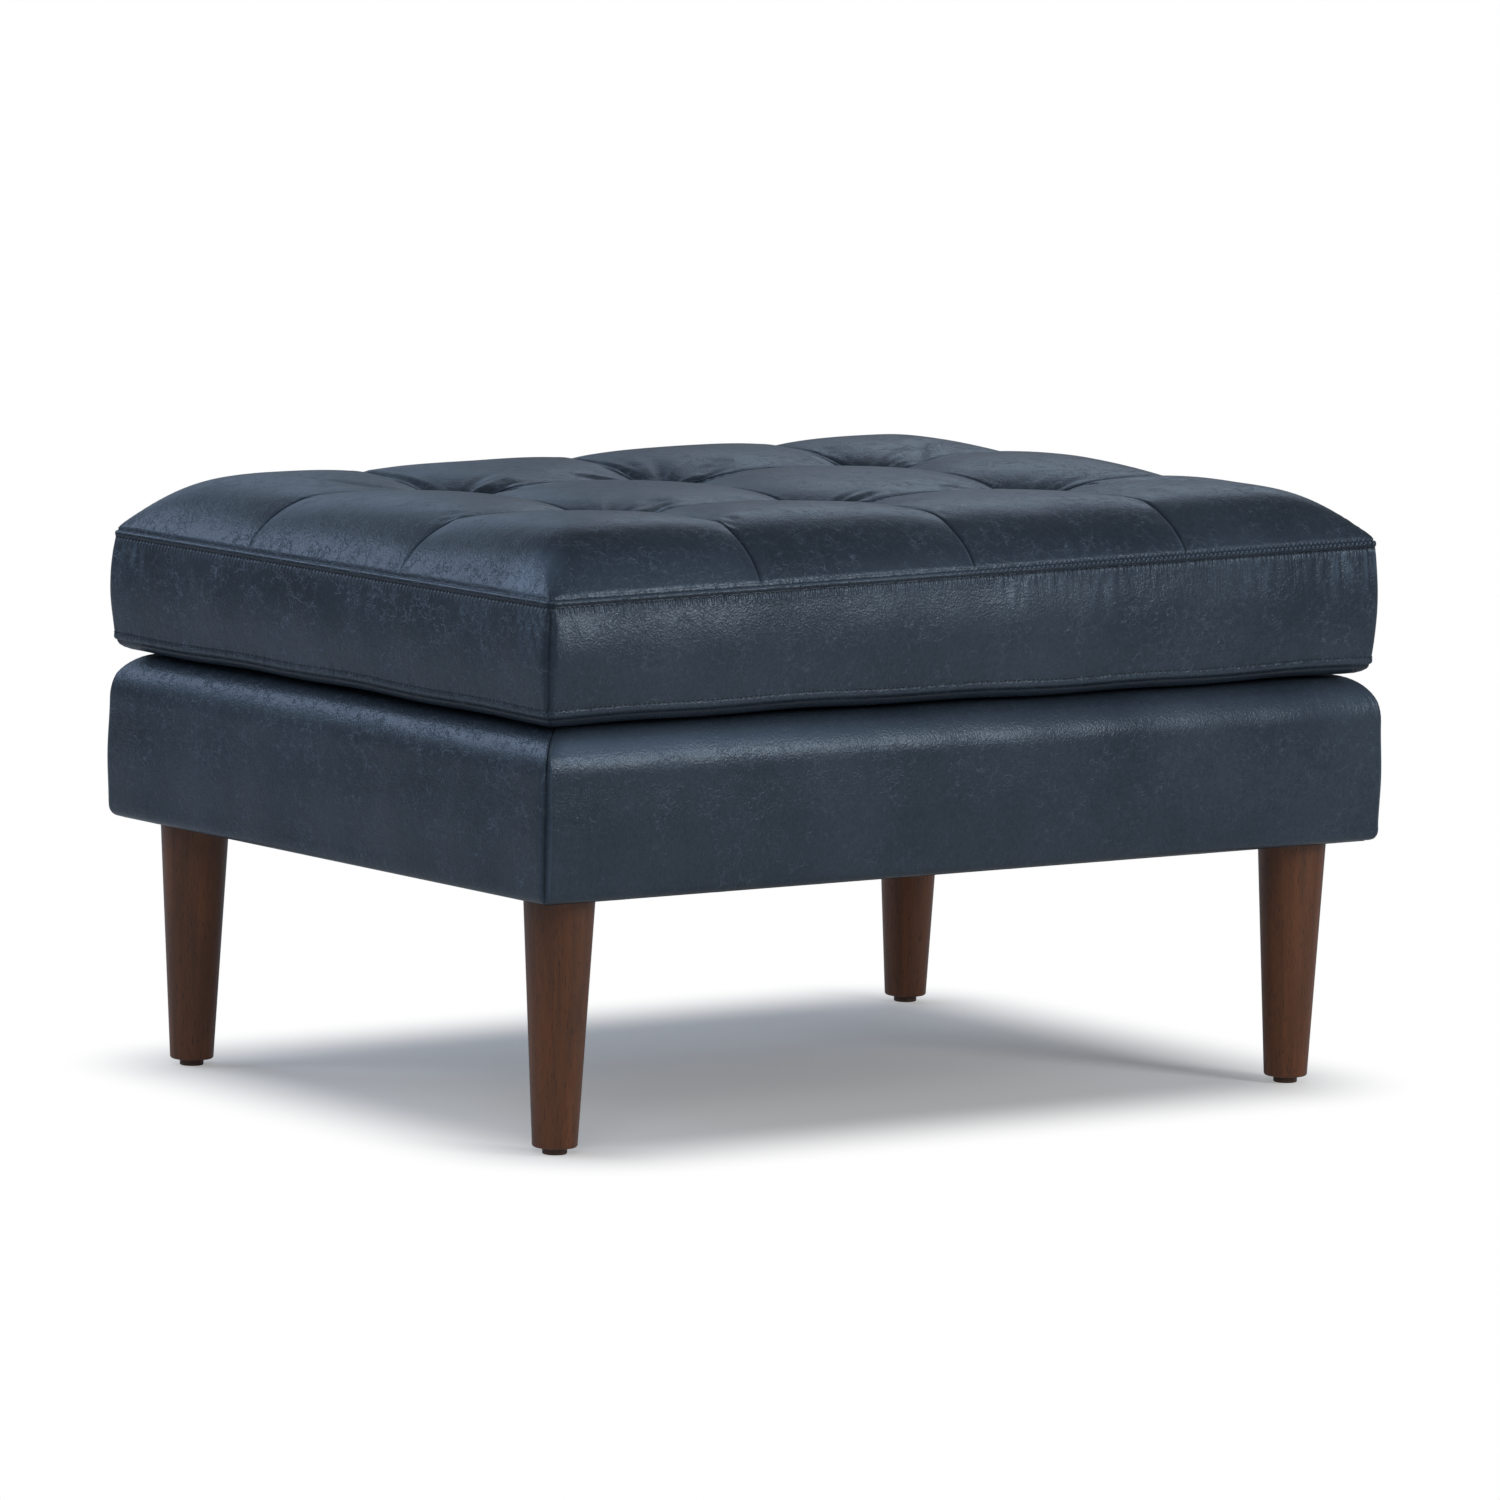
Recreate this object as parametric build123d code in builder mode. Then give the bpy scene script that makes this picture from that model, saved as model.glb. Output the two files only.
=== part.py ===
"""Ottoman coffee table: a leather box base on four tapered legs, with a loose tufted box cushion on its deck.

The origin is on the floor below the middle of the base. +X runs along the long side, +Z is up,
the front is the low-y side and the left is the low-x side.
"""

import os

from build123d import *

# Driving sizes of the whole, in millimetres.
base_length = 762
base_depth = 558
base_height = 122
leg_height = 183

# Shape of the padded base.
base_top_round = 30
base_bottom_round = 8
base_corner_round = 9
base_side_fullness = 2

# Leather, cloth and wood stock.
leather_thickness = 1.4
cloth_thickness = 0.8
padding_thickness = 10
rail_thickness = 20
rail_height = 88
cross_rail_height = 60

# Clearances and overruns.
seat_clearance = 0.3
filling_clearance = 0.3
fastener_clearance = 0.1
cut_overrun = 10

# Where the leather of the base ends.
deck_margin = 60
underside_wrap = 20

# Shape of the cushion. It is a step smaller than the base at each end and side, and its seam
# heights are steps up from the face that lies on the deck.
cushion_end_step = 7.5
cushion_side_step = 2.5
cushion_shift = -4.5
belly_drop = 10.7
belly_width = 38
boxing_height = 84
boxing_fullness = 2.5
cushion_corner_round = 9
shoulder_height = 50
end_shoulder_width = 110
side_shoulder_width = 70
tuft_height = 27
valley_height = 42
pillow_height = 47
core_shoulder = 14

# Seams of the top panels, as shares of half the length and of half the depth.
column_seam_shares = (-1, -0.513, -0.004, 0.515, 1)
row_seam_shares = (-1, -0.33, 0.365, 1)
# Outline of a shoulder from the seam inwards, as shares of its width and its height.
shoulder_shares = ((0, 0), (0.12, 0.475), (0.34, 0.751), (0.62, 0.925), (1, 1))
# Bulge of the belly at its middle, as shares of its width and its drop.
belly_bulge_shares = (0.4, 0.75)

# Legs and glides.
leg_inset = 48
leg_top_diameter = 51
leg_foot_diameter = 32
leg_foot_round = 2
glide_diameter = 17.6
glide_height = 5
glide_edge_round = 1
glide_nail_diameter = 2.5
glide_nail_length = 18

# Leg fixing.
block_side = 80
block_tip = 8
block_height = 38
hanger_bolt_diameter = 8
hanger_bolt_wood_length = 32
hanger_bolt_overlap = 2
tee_nut_flange_diameter = 22
tee_nut_flange_thickness = 1.5
tee_nut_barrel_diameter = 10.5
tee_nut_barrel_length = 9

# Joinery of the frame.
dowel_diameter = 8
dowel_length = 36
dowel_depth = 14
dowel_spacing = 44
cross_dowel_spacing = 32
dowel_end_gap = 0.5
block_screw_diameter = 4
block_screw_length = 28
block_screw_head_diameter = 8
block_screw_head_height = 2.4
block_screw_offset = 50
block_screw_seat = 12

# Springs and their clips.
spring_count = 5
spring_wire = 3.8
spring_bars = 20
spring_bar_length = 30
spring_end_inset = 13
clip_strap = 1.2
clip_width = 20
clip_tail = 8
clip_nail_spacing = 10
clip_nail_diameter = 1.8
clip_nail_head_diameter = 4.5
clip_nail_head_height = 0.8
clip_nail_length = 16

# Dust cover and its staples.
dust_cover_inset = 10
leg_hole_clearance = 0.6
staple_inset = 15
staple_crown = 10
staple_wire = 0.7
staple_width = 1.2
staple_leg = 9
staples_per_length = 8
staples_per_depth = 5

# Tuft twines and the discs that anchor them below the core.
twine_diameter = 2.4
tuft_disc_diameter = 25
tuft_disc_thickness = 3

# Heights and plan sizes that follow.
base_bottom = leg_height
base_top = base_bottom + base_height
rail_bottom = base_bottom + leather_thickness
rail_top = rail_bottom + rail_height
rail_middle = rail_bottom + rail_height / 2
cross_rail_middle = rail_bottom + cross_rail_height / 2
padding_inset = leather_thickness + filling_clearance
frame_inset = leather_thickness + padding_thickness
frame_length = base_length - 2 * frame_inset
frame_depth = base_depth - 2 * frame_inset
inner_length = frame_length - 2 * rail_thickness
inner_depth = frame_depth - 2 * rail_thickness
leg_x = base_length / 2 - leg_inset
leg_y = base_depth / 2 - leg_inset
clip_height = spring_wire + 2 * clip_strap + 2 * fastener_clearance
spring_axis = rail_top + clip_height / 2
spring_end = frame_depth / 2 - spring_end_inset
clip_end = spring_end + clip_height / 2 + clip_tail
deck_cloth_bottom = rail_top + clip_height
deck_cloth_top = deck_cloth_bottom + cloth_thickness
deck_cloth_length = frame_length - 2 * spring_end_inset
deck_cloth_depth = 2 * (clip_end + filling_clearance)
cushion_length = base_length - 2 * cushion_end_step
cushion_depth = base_depth - 2 * cushion_side_step
cushion_bottom = base_top + seat_clearance
bottom_seam = cushion_bottom + belly_drop
top_seam = bottom_seam + boxing_height
core_top = top_seam + core_shoulder

# Upright planes through the middle of the base and of the shifted cushion.
base_lengthways = Plane.XZ
base_crossways = Plane.YZ
cushion_lengthways = Plane((cushion_shift, 0, 0), x_dir=(1, 0, 0), z_dir=(0, -1, 0))
cushion_crossways = Plane((cushion_shift, 0, 0), x_dir=(0, 1, 0), z_dir=(1, 0, 0))


def save(part, name):
    """Labels a finished piece and writes its file."""
    part.label = name
    export_step(part, f"parts/{name}.step")


def slab(length, depth, low, high, centre_x=0):
    """A plain block between two heights."""
    with BuildPart() as block:
        with BuildSketch(Plane((centre_x, 0, low))):
            Rectangle(length, depth)
        extrude(amount=high - low)
    return block.part


# Padded base: one form, shrunk for each layer below the leather


def base_section(plane, length, inset):
    """Upright section of the base: round bottom and top edges, with slightly full sides."""
    edge = length / 2 - base_side_fullness
    low_centre = (edge - base_bottom_round, base_bottom + base_bottom_round)
    high_centre = (edge - base_top_round, base_top - base_top_round)
    side_middle = (edge + base_side_fullness, (low_centre[1] + high_centre[1]) / 2)
    with BuildSketch(plane) as section:
        with BuildLine():
            Line((0, base_bottom), (low_centre[0], base_bottom))
            CenterArc(low_centre, base_bottom_round, -90, 90)
            ThreePointArc((edge, low_centre[1]), side_middle, (edge, high_centre[1]))
            CenterArc(high_centre, base_top_round, 0, 90)
            Line((high_centre[0], base_top), (0, base_top))
            mirror(about=Plane.YZ)
        make_face()
        if inset:
            offset(amount=-inset)
    return section.sketch


def base_form(inset):
    """The padded box, shrunk by an inset on every side."""
    with BuildPart() as form:
        with BuildSketch(Plane.XY.offset(base_bottom)):
            RectangleRounded(
                base_length - 2 * inset, base_depth - 2 * inset, base_corner_round - inset
            )
        extrude(amount=base_height)
        extrude(
            base_section(base_lengthways, base_length, inset),
            amount=base_depth,
            both=True,
            mode=Mode.INTERSECT,
        )
        extrude(
            base_section(base_crossways, base_depth, inset),
            amount=base_length,
            both=True,
            mode=Mode.INTERSECT,
        )
    return form.part


def mitred_side(body, length, depth, reach, low, high, side, centre_x=0):
    """The part of a body that lies along one side of a box, cut at 45 degrees through its corners."""
    x = length / 2 + cut_overrun
    y = depth / 2 + cut_overrun
    depth_in = reach + cut_overrun
    outlines = {
        "front": ((-x, -y), (x, -y), (x - depth_in, depth_in - y), (depth_in - x, depth_in - y)),
        "rear": ((x, y), (-x, y), (depth_in - x, y - depth_in), (x - depth_in, y - depth_in)),
        "left": ((-x, y), (-x, -y), (depth_in - x, depth_in - y), (depth_in - x, y - depth_in)),
        "right": ((x, -y), (x, y), (x - depth_in, y - depth_in), (x - depth_in, depth_in - y)),
    }
    with BuildPart() as piece:
        add(body)
        with BuildSketch(Plane((centre_x, 0, low))):
            with BuildLine():
                Polyline(*outlines[side], close=True)
            make_face()
        extrude(amount=high - low, mode=Mode.INTERSECT)
    return piece.part


sides = ("front", "rear", "left", "right")


# Fasteners, each made with a growth so that the same shapes cut their own holes


def dowels(growth):
    """Beech dowels: two in each corner of the frame and two in each end of the cross rail."""
    half_lap = dowel_length / 2 - dowel_depth
    corner_joint_y = frame_depth / 2 - rail_thickness - half_lap
    length = dowel_length + (2 * dowel_end_gap if growth else 0)
    with BuildPart() as group:
        for end in (-1, 1):
            rows = (
                (frame_length / 2 - rail_thickness / 2, rail_middle, dowel_spacing),
                (-frame_length / 2 + rail_thickness / 2, rail_middle, dowel_spacing),
                (0, cross_rail_middle, cross_dowel_spacing),
            )
            for x, height, spacing in rows:
                plane = Plane((x, end * corner_joint_y, height), x_dir=(1, 0, 0), z_dir=(0, -1, 0))
                with BuildSketch(plane):
                    with GridLocations(0, spacing, 1, 2):
                        Circle(dowel_diameter / 2 + growth)
                extrude(amount=length / 2, both=True)
    return group.part


def block_screw(growth):
    """Countersunk screw along -Z, with its head's seat at z = 0 and its tip inside the rail."""
    radius = block_screw_diameter / 2 + growth
    head = block_screw_head_diameter / 2 + growth
    with BuildPart() as screw:
        with BuildSketch(Plane.XZ):
            with BuildLine():
                Polyline(
                    (0, 0),
                    (head, 0),
                    (radius, -block_screw_head_height),
                    (radius, -block_screw_length - growth),
                    (0, -block_screw_length - growth),
                    close=True,
                )
            make_face()
        revolve(axis=Axis.Z)
        if growth:
            with BuildSketch(Plane.XY):
                Circle(head)
            extrude(amount=block_side)
    return screw.part


def block_screws(growth):
    """Two screws in each corner block: one into the long rail and one into the short rail."""
    height = rail_bottom + block_height / 2
    seat = block_screw_seat
    with BuildPart() as group:
        for side_x in (-1, 1):
            for side_y in (-1, 1):
                into_long = Plane(
                    (
                        side_x * (inner_length / 2 - block_screw_offset),
                        side_y * (inner_depth / 2 - seat),
                        height,
                    ),
                    x_dir=(1, 0, 0),
                    z_dir=(0, -side_y, 0),
                )
                into_short = Plane(
                    (
                        side_x * (inner_length / 2 - seat),
                        side_y * (inner_depth / 2 - block_screw_offset),
                        height,
                    ),
                    x_dir=(0, 1, 0),
                    z_dir=(-side_x, 0, 0),
                )
                with Locations(into_long, into_short):
                    add(block_screw(growth))
    return group.part


def spring_places():
    """The middle of each spring along X."""
    spacing = inner_length / spring_count
    return [spacing * (i - (spring_count - 1) / 2) for i in range(spring_count)]


def clip_nails(growth):
    """Two nails through the tail of each spring clip into the rail."""
    radius = clip_nail_diameter / 2 + growth
    tail_middle = clip_end - clip_tail / 2
    seat = rail_top + clip_strap
    places = [
        (x + side * clip_nail_spacing / 2, end * tail_middle)
        for x in spring_places()
        for side in (-1, 1)
        for end in (-1, 1)
    ]
    with BuildPart() as group:
        with BuildSketch(Plane.XY.offset(seat)):
            with Locations(*places):
                Circle(radius)
        extrude(amount=-clip_nail_length - growth)
        if not growth:
            with BuildSketch(Plane.XY.offset(seat)):
                with Locations(*places):
                    Circle(clip_nail_head_diameter / 2)
            extrude(amount=clip_nail_head_height)
    return group.part


def staple(along_x):
    """One staple with its crown under z = 0 and its legs up."""
    crown = (staple_crown, staple_width) if along_x else (staple_width, staple_crown)
    leg = (staple_wire, staple_width) if along_x else (staple_width, staple_wire)
    spread = staple_crown - staple_wire
    with BuildPart() as part:
        with BuildSketch(Plane.XY.offset(-staple_wire)):
            Rectangle(*crown)
        extrude(amount=staple_wire)
        with BuildSketch(Plane.XY):
            with GridLocations(
                spread if along_x else 0,
                0 if along_x else spread,
                2 if along_x else 1,
                1 if along_x else 2,
            ):
                Rectangle(*leg)
        extrude(amount=staple_leg)
    return part.part


def staples():
    """Staples round the dust cover, through the turned-in leather and into the rails."""
    length_step = inner_length / staples_per_length
    depth_step = inner_depth / staples_per_depth
    plane = Plane.XY.offset(base_bottom - cloth_thickness)
    with BuildPart() as group:
        with Locations(plane):
            with GridLocations(length_step, base_depth - 2 * staple_inset, staples_per_length, 2):
                add(staple(along_x=True))
            with GridLocations(base_length - 2 * staple_inset, depth_step, 2, staples_per_depth):
                add(staple(along_x=False))
    return group.part


# Legs and their fixing


def leg(x, y):
    """Tapered leg, bored for the hanger bolt above and the glide's nail below."""
    with BuildPart() as part:
        with BuildSketch(Plane((x, y, glide_height))):
            Circle(leg_foot_diameter / 2)
        with BuildSketch(Plane((x, y, rail_bottom))):
            Circle(leg_top_diameter / 2)
        loft()
        fillet(part.edges().sort_by(Axis.Z)[0], radius=leg_foot_round)
        with Locations((x, y, rail_bottom)):
            Hole(
                hanger_bolt_diameter / 2 + fastener_clearance,
                depth=hanger_bolt_wood_length + fastener_clearance,
            )
        with BuildSketch(Plane((x, y, glide_height))):
            Circle(glide_nail_diameter / 2 + fastener_clearance)
        extrude(amount=glide_nail_length + fastener_clearance, mode=Mode.SUBTRACT)
    return part.part


def glide(x, y):
    """Nylon glide with its nail, driven into the end of a leg."""
    with BuildPart() as part:
        with BuildSketch(Plane((x, y, 0))):
            Circle(glide_diameter / 2)
        extrude(amount=glide_height)
        fillet(part.edges().sort_by(Axis.Z)[0], radius=glide_edge_round)
        with BuildSketch(Plane((x, y, glide_height))):
            Circle(glide_nail_diameter / 2)
        extrude(amount=glide_nail_length)
    return part.part


def hanger_bolts():
    """A bolt from each leg up through its corner block."""
    top = rail_bottom + block_height + hanger_bolt_overlap
    with BuildPart() as group:
        with BuildSketch(Plane.XY.offset(rail_bottom - hanger_bolt_wood_length)):
            with GridLocations(2 * leg_x, 2 * leg_y, 2, 2):
                Circle(hanger_bolt_diameter / 2)
        extrude(amount=top - rail_bottom + hanger_bolt_wood_length)
    return group.part


def tee_nuts():
    """A flanged nut let into the top of each corner block."""
    seat = rail_bottom + block_height
    with BuildPart() as group:
        with BuildSketch(Plane.XY.offset(seat - tee_nut_barrel_length)):
            with GridLocations(2 * leg_x, 2 * leg_y, 2, 2):
                Circle(tee_nut_barrel_diameter / 2)
        extrude(amount=tee_nut_barrel_length)
        with BuildSketch(Plane.XY.offset(seat)):
            with GridLocations(2 * leg_x, 2 * leg_y, 2, 2):
                Circle(tee_nut_flange_diameter / 2)
        extrude(amount=tee_nut_flange_thickness)
        with BuildSketch(Plane.XY.offset(seat - tee_nut_barrel_length)):
            with GridLocations(2 * leg_x, 2 * leg_y, 2, 2):
                Circle(hanger_bolt_diameter / 2 + fastener_clearance)
        extrude(amount=tee_nut_barrel_length + tee_nut_flange_thickness, mode=Mode.SUBTRACT)
    return group.part


def corner_blocks():
    """A triangular block glued and screwed into each corner of the frame."""
    corner = (inner_length / 2, inner_depth / 2)
    outline = (
        corner,
        (corner[0] - block_side, corner[1]),
        (corner[0] - block_side, corner[1] - block_tip),
        (corner[0] - block_tip, corner[1] - block_side),
        (corner[0], corner[1] - block_side),
    )
    barrel = tee_nut_barrel_diameter / 2 + fastener_clearance
    top = rail_bottom + block_height
    with BuildPart() as group:
        with BuildSketch(Plane.XY.offset(rail_bottom)):
            with BuildLine():
                Polyline(*outline, close=True)
            make_face()
            mirror(about=Plane.YZ)
            mirror(about=Plane.XZ)
        extrude(amount=block_height)
        with Locations(Plane.XY.offset(top)):
            with GridLocations(2 * leg_x, 2 * leg_y, 2, 2):
                CounterBoreHole(
                    hanger_bolt_diameter / 2 + fastener_clearance,
                    barrel,
                    tee_nut_barrel_length + fastener_clearance,
                    depth=block_height,
                )
        add(block_screws(fastener_clearance), mode=Mode.SUBTRACT)
    return group.part


# Frame rails


def rail(length, depth, x, y, height, cutters):
    """A rail standing on the frame's lower face, cut for the fasteners that reach it."""
    with BuildPart() as part:
        with BuildSketch(Plane((x, y, rail_bottom))):
            Rectangle(length, depth)
        extrude(amount=height)
        for cutter in cutters:
            add(cutter, mode=Mode.SUBTRACT)
    return part.part


def save_frame():
    """The four rails, the cross rail and what joins them."""
    cutters = [
        dowels(fastener_clearance),
        block_screws(fastener_clearance),
        clip_nails(fastener_clearance),
        staples(),
    ]
    long_y = frame_depth / 2 - rail_thickness / 2
    short_x = frame_length / 2 - rail_thickness / 2
    save(rail(frame_length, rail_thickness, 0, -long_y, rail_height, cutters), "rail_front")
    save(rail(frame_length, rail_thickness, 0, long_y, rail_height, cutters), "rail_rear")
    save(rail(rail_thickness, inner_depth, -short_x, 0, rail_height, cutters), "rail_left")
    save(rail(rail_thickness, inner_depth, short_x, 0, rail_height, cutters), "rail_right")
    save(rail(rail_thickness, inner_depth, 0, 0, cross_rail_height, cutters), "cross_rail")
    save(dowels(0), "rail_dowels")
    save(corner_blocks(), "corner_blocks")
    save(block_screws(0), "corner_block_screws")


# Springs


def sinuous_spring():
    """One zigzag spring lying flat, with its end bars over the long rails."""
    span = 2 * spring_end
    pitch = span / (spring_bars - 1)
    turn = pitch / 2
    reach = spring_bar_length / 2
    with BuildPart() as spring:
        with BuildLine() as path:
            for bar in range(spring_bars):
                y = bar * pitch - span / 2
                side = 1 if bar % 2 == 0 else -1
                Line((-side * reach, y, spring_axis), (side * reach, y, spring_axis))
                if bar < spring_bars - 1:
                    ThreePointArc(
                        (side * reach, y, spring_axis),
                        (side * (reach + turn), y + turn, spring_axis),
                        (side * reach, y + pitch, spring_axis),
                    )
        with BuildSketch(Plane(path.line @ 0, z_dir=path.line % 0)):
            Circle(spring_wire / 2)
        sweep()
    return spring.part


def spring_clip():
    """Steel strap bent round a spring's end bar at the front, with a flat tail towards the outside."""
    bore = spring_wire / 2 + fastener_clearance
    outer = bore + clip_strap
    with BuildPart() as clip:
        with BuildSketch(Plane.YZ):
            Circle(outer)
            with Locations((-outer - clip_tail, -outer)):
                Rectangle(outer + clip_tail, clip_strap, align=(Align.MIN, Align.MIN))
            Circle(bore, mode=Mode.SUBTRACT)
        extrude(amount=clip_width / 2, both=True)
    return clip.part


def save_springs():
    """Springs, clips and clip nails."""
    with BuildPart() as springs:
        with Locations(*[(x, 0) for x in spring_places()]):
            add(sinuous_spring())
    save(springs.part, "seat_springs")
    with BuildPart() as clips:
        with Locations(*[(x, -spring_end, spring_axis) for x in spring_places()]):
            add(spring_clip())
        mirror(about=Plane.XZ)
        add(clip_nails(fastener_clearance), mode=Mode.SUBTRACT)
    save(clips.part, "spring_clips")
    save(clip_nails(0), "clip_nails")


# Padding and covers of the base


def save_base_padding():
    """Deck cloth over the springs, deck foam over the cloth and foam along each side."""
    length, depth = deck_cloth_length, deck_cloth_depth
    save(slab(length, depth, deck_cloth_bottom, deck_cloth_top), "deck_cloth")
    padding = base_form(padding_inset)
    with BuildPart() as deck_foam:
        add(padding)
        add(slab(base_length, base_depth, rail_top, base_top), mode=Mode.INTERSECT)
        add(slab(length, depth, rail_top, deck_cloth_top), mode=Mode.SUBTRACT)
    save(deck_foam.part, "deck_foam")
    with BuildPart() as side_ring:
        add(padding)
        add(slab(base_length, base_depth, base_bottom, rail_top), mode=Mode.INTERSECT)
        add(slab(frame_length, frame_depth, base_bottom, rail_top), mode=Mode.SUBTRACT)
    for side in sides:
        strip = mitred_side(
            side_ring.part, base_length, base_depth, deck_margin, base_bottom, rail_top, side
        )
        save(strip, f"side_foam_{side}")


def save_base_cover():
    """Four leather sides, turned in below the rails, and the cloth deck that they are sewn to."""
    with BuildPart() as skin:
        add(base_form(0))
        add(base_form(leather_thickness), mode=Mode.SUBTRACT)
        add(
            slab(
                base_length - 2 * underside_wrap,
                base_depth - 2 * underside_wrap,
                base_bottom,
                rail_bottom,
            ),
            mode=Mode.SUBTRACT,
        )
        add(staples(), mode=Mode.SUBTRACT)
    for side in sides:
        cover = mitred_side(
            skin.part, base_length, base_depth, deck_margin, base_bottom, base_top, side
        )
        save(cover, f"base_cover_{side}")
    with BuildPart() as deck:
        add(skin.part)
        add(
            slab(
                base_length - 2 * deck_margin,
                base_depth - 2 * deck_margin,
                rail_top,
                base_top,
            ),
            mode=Mode.INTERSECT,
        )
    save(deck.part, "deck_cover")


def save_underside():
    """Dust cover with holes for the legs, and its staples."""
    with BuildPart() as dust_cover:
        with BuildSketch(Plane.XY.offset(base_bottom)):
            Rectangle(base_length - 2 * dust_cover_inset, base_depth - 2 * dust_cover_inset)
            with GridLocations(2 * leg_x, 2 * leg_y, 2, 2):
                Circle(leg_top_diameter / 2 + leg_hole_clearance, mode=Mode.SUBTRACT)
        extrude(amount=-cloth_thickness)
        add(staples(), mode=Mode.SUBTRACT)
    save(dust_cover.part, "dust_cover")
    save(staples(), "dust_cover_staples")


def save_legs():
    """The four legs with their glides, bolts and nuts."""
    names = {-1: ("front", "left"), 1: ("rear", "right")}
    for side_y in (-1, 1):
        for side_x in (-1, 1):
            place = f"{names[side_y][0]}_{names[side_x][1]}"
            save(leg(side_x * leg_x, side_y * leg_y), f"leg_{place}")
            save(glide(side_x * leg_x, side_y * leg_y), f"glide_{place}")
    save(hanger_bolts(), "hanger_bolts")
    save(tee_nuts(), "tee_nuts")


# Cushion: a box form cut to the crown of twelve pillows, shrunk for each layer


def cushion_section(plane, length, shoulder_width, inset):
    """Upright section of the cushion: belly, full boxing and rounded shoulders up to a flat top."""
    half = length / 2
    bulge = (
        half - belly_width * belly_bulge_shares[0] / 2,
        bottom_seam - belly_drop * belly_bulge_shares[1],
    )
    shoulder = [
        (half - x * shoulder_width, top_seam + z * shoulder_height) for x, z in shoulder_shares
    ]
    crown = top_seam + shoulder_height
    with BuildSketch(plane) as section:
        with BuildLine():
            Line((0, cushion_bottom), (half - belly_width, cushion_bottom))
            ThreePointArc((half - belly_width, cushion_bottom), bulge, (half, bottom_seam))
            ThreePointArc(
                (half, bottom_seam),
                (half + boxing_fullness, (bottom_seam + top_seam) / 2),
                (half, top_seam),
            )
            ThreePointArc(shoulder[0], shoulder[1], shoulder[2])
            ThreePointArc(shoulder[2], shoulder[3], shoulder[4])
            Line(shoulder[4], (0, crown))
            mirror(about=Plane.YZ)
        make_face()
        if inset:
            offset(amount=-inset)
    return section.sketch


def cushion_box(inset):
    """The box cushion before tufting."""
    length = cushion_length + 2 * boxing_fullness - 2 * inset
    depth = cushion_depth + 2 * boxing_fullness - 2 * inset
    with BuildPart() as form:
        with BuildSketch(Plane((cushion_shift, 0, cushion_bottom))):
            RectangleRounded(length, depth, cushion_corner_round - inset)
        extrude(amount=top_seam + shoulder_height - cushion_bottom)
        extrude(
            cushion_section(cushion_lengthways, cushion_length, end_shoulder_width, inset),
            amount=cushion_depth,
            both=True,
            mode=Mode.INTERSECT,
        )
        extrude(
            cushion_section(cushion_crossways, cushion_depth, side_shoulder_width, inset),
            amount=cushion_length,
            both=True,
            mode=Mode.INTERSECT,
        )
    return form.part


def seam_lines(shares, size):
    """Places of the seams of the top, with the outermost moved out past the boxing."""
    lines = [share * size / 2 for share in shares]
    lines[0] -= cut_overrun
    lines[-1] += cut_overrun
    return lines


def pillow(column, row, inset):
    """One panel filled from below the top seam to its puffed top: low at its corners, high in the middle."""
    x_lines = seam_lines(column_seam_shares, cushion_length)
    y_lines = seam_lines(row_seam_shares, cushion_depth)
    x_low, x_high = x_lines[column], x_lines[column + 1]
    y_low, y_high = y_lines[row], y_lines[row + 1]
    y_middle = (y_low + y_high) / 2
    tuft = top_seam + tuft_height - inset
    valley = top_seam + valley_height - inset
    puff = top_seam + pillow_height - inset
    sections = (
        (x_low, tuft, valley),
        ((x_low + x_high) / 2, valley, puff),
        (x_high, tuft, valley),
    )
    with BuildPart() as part:
        for x, edge, middle in sections:
            with BuildSketch(Plane((cushion_shift + x, 0, 0), x_dir=(0, 1, 0), z_dir=(1, 0, 0))):
                with BuildLine():
                    Polyline((y_low, edge), (y_low, cushion_bottom), (y_high, cushion_bottom))
                    Line((y_high, cushion_bottom), (y_high, edge))
                    ThreePointArc((y_high, edge), (y_middle, middle), (y_low, edge))
                make_face()
        loft()
    return part.part


columns = len(column_seam_shares) - 1
rows = len(row_seam_shares) - 1


def cushion_form(inset):
    """The finished outer shape of the cushion, shrunk by an inset on every side."""
    with BuildPart() as crown:
        for column in range(columns):
            for row in range(rows):
                add(pillow(column, row, inset))
        add(cushion_box(inset), mode=Mode.INTERSECT)
    return crown.part


def tuft_places():
    """The seam crossings, which are where the top is drawn down."""
    return [
        (cushion_shift + x * cushion_length / 2, y * cushion_depth / 2)
        for x in column_seam_shares[1:-1]
        for y in row_seam_shares[1:-1]
    ]


def cushion_cover():
    """The whole leather skin of the cushion, before it is parted at its seams."""
    with BuildPart() as skin:
        add(cushion_form(0))
        add(cushion_form(leather_thickness), mode=Mode.SUBTRACT)
    return skin.part


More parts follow.
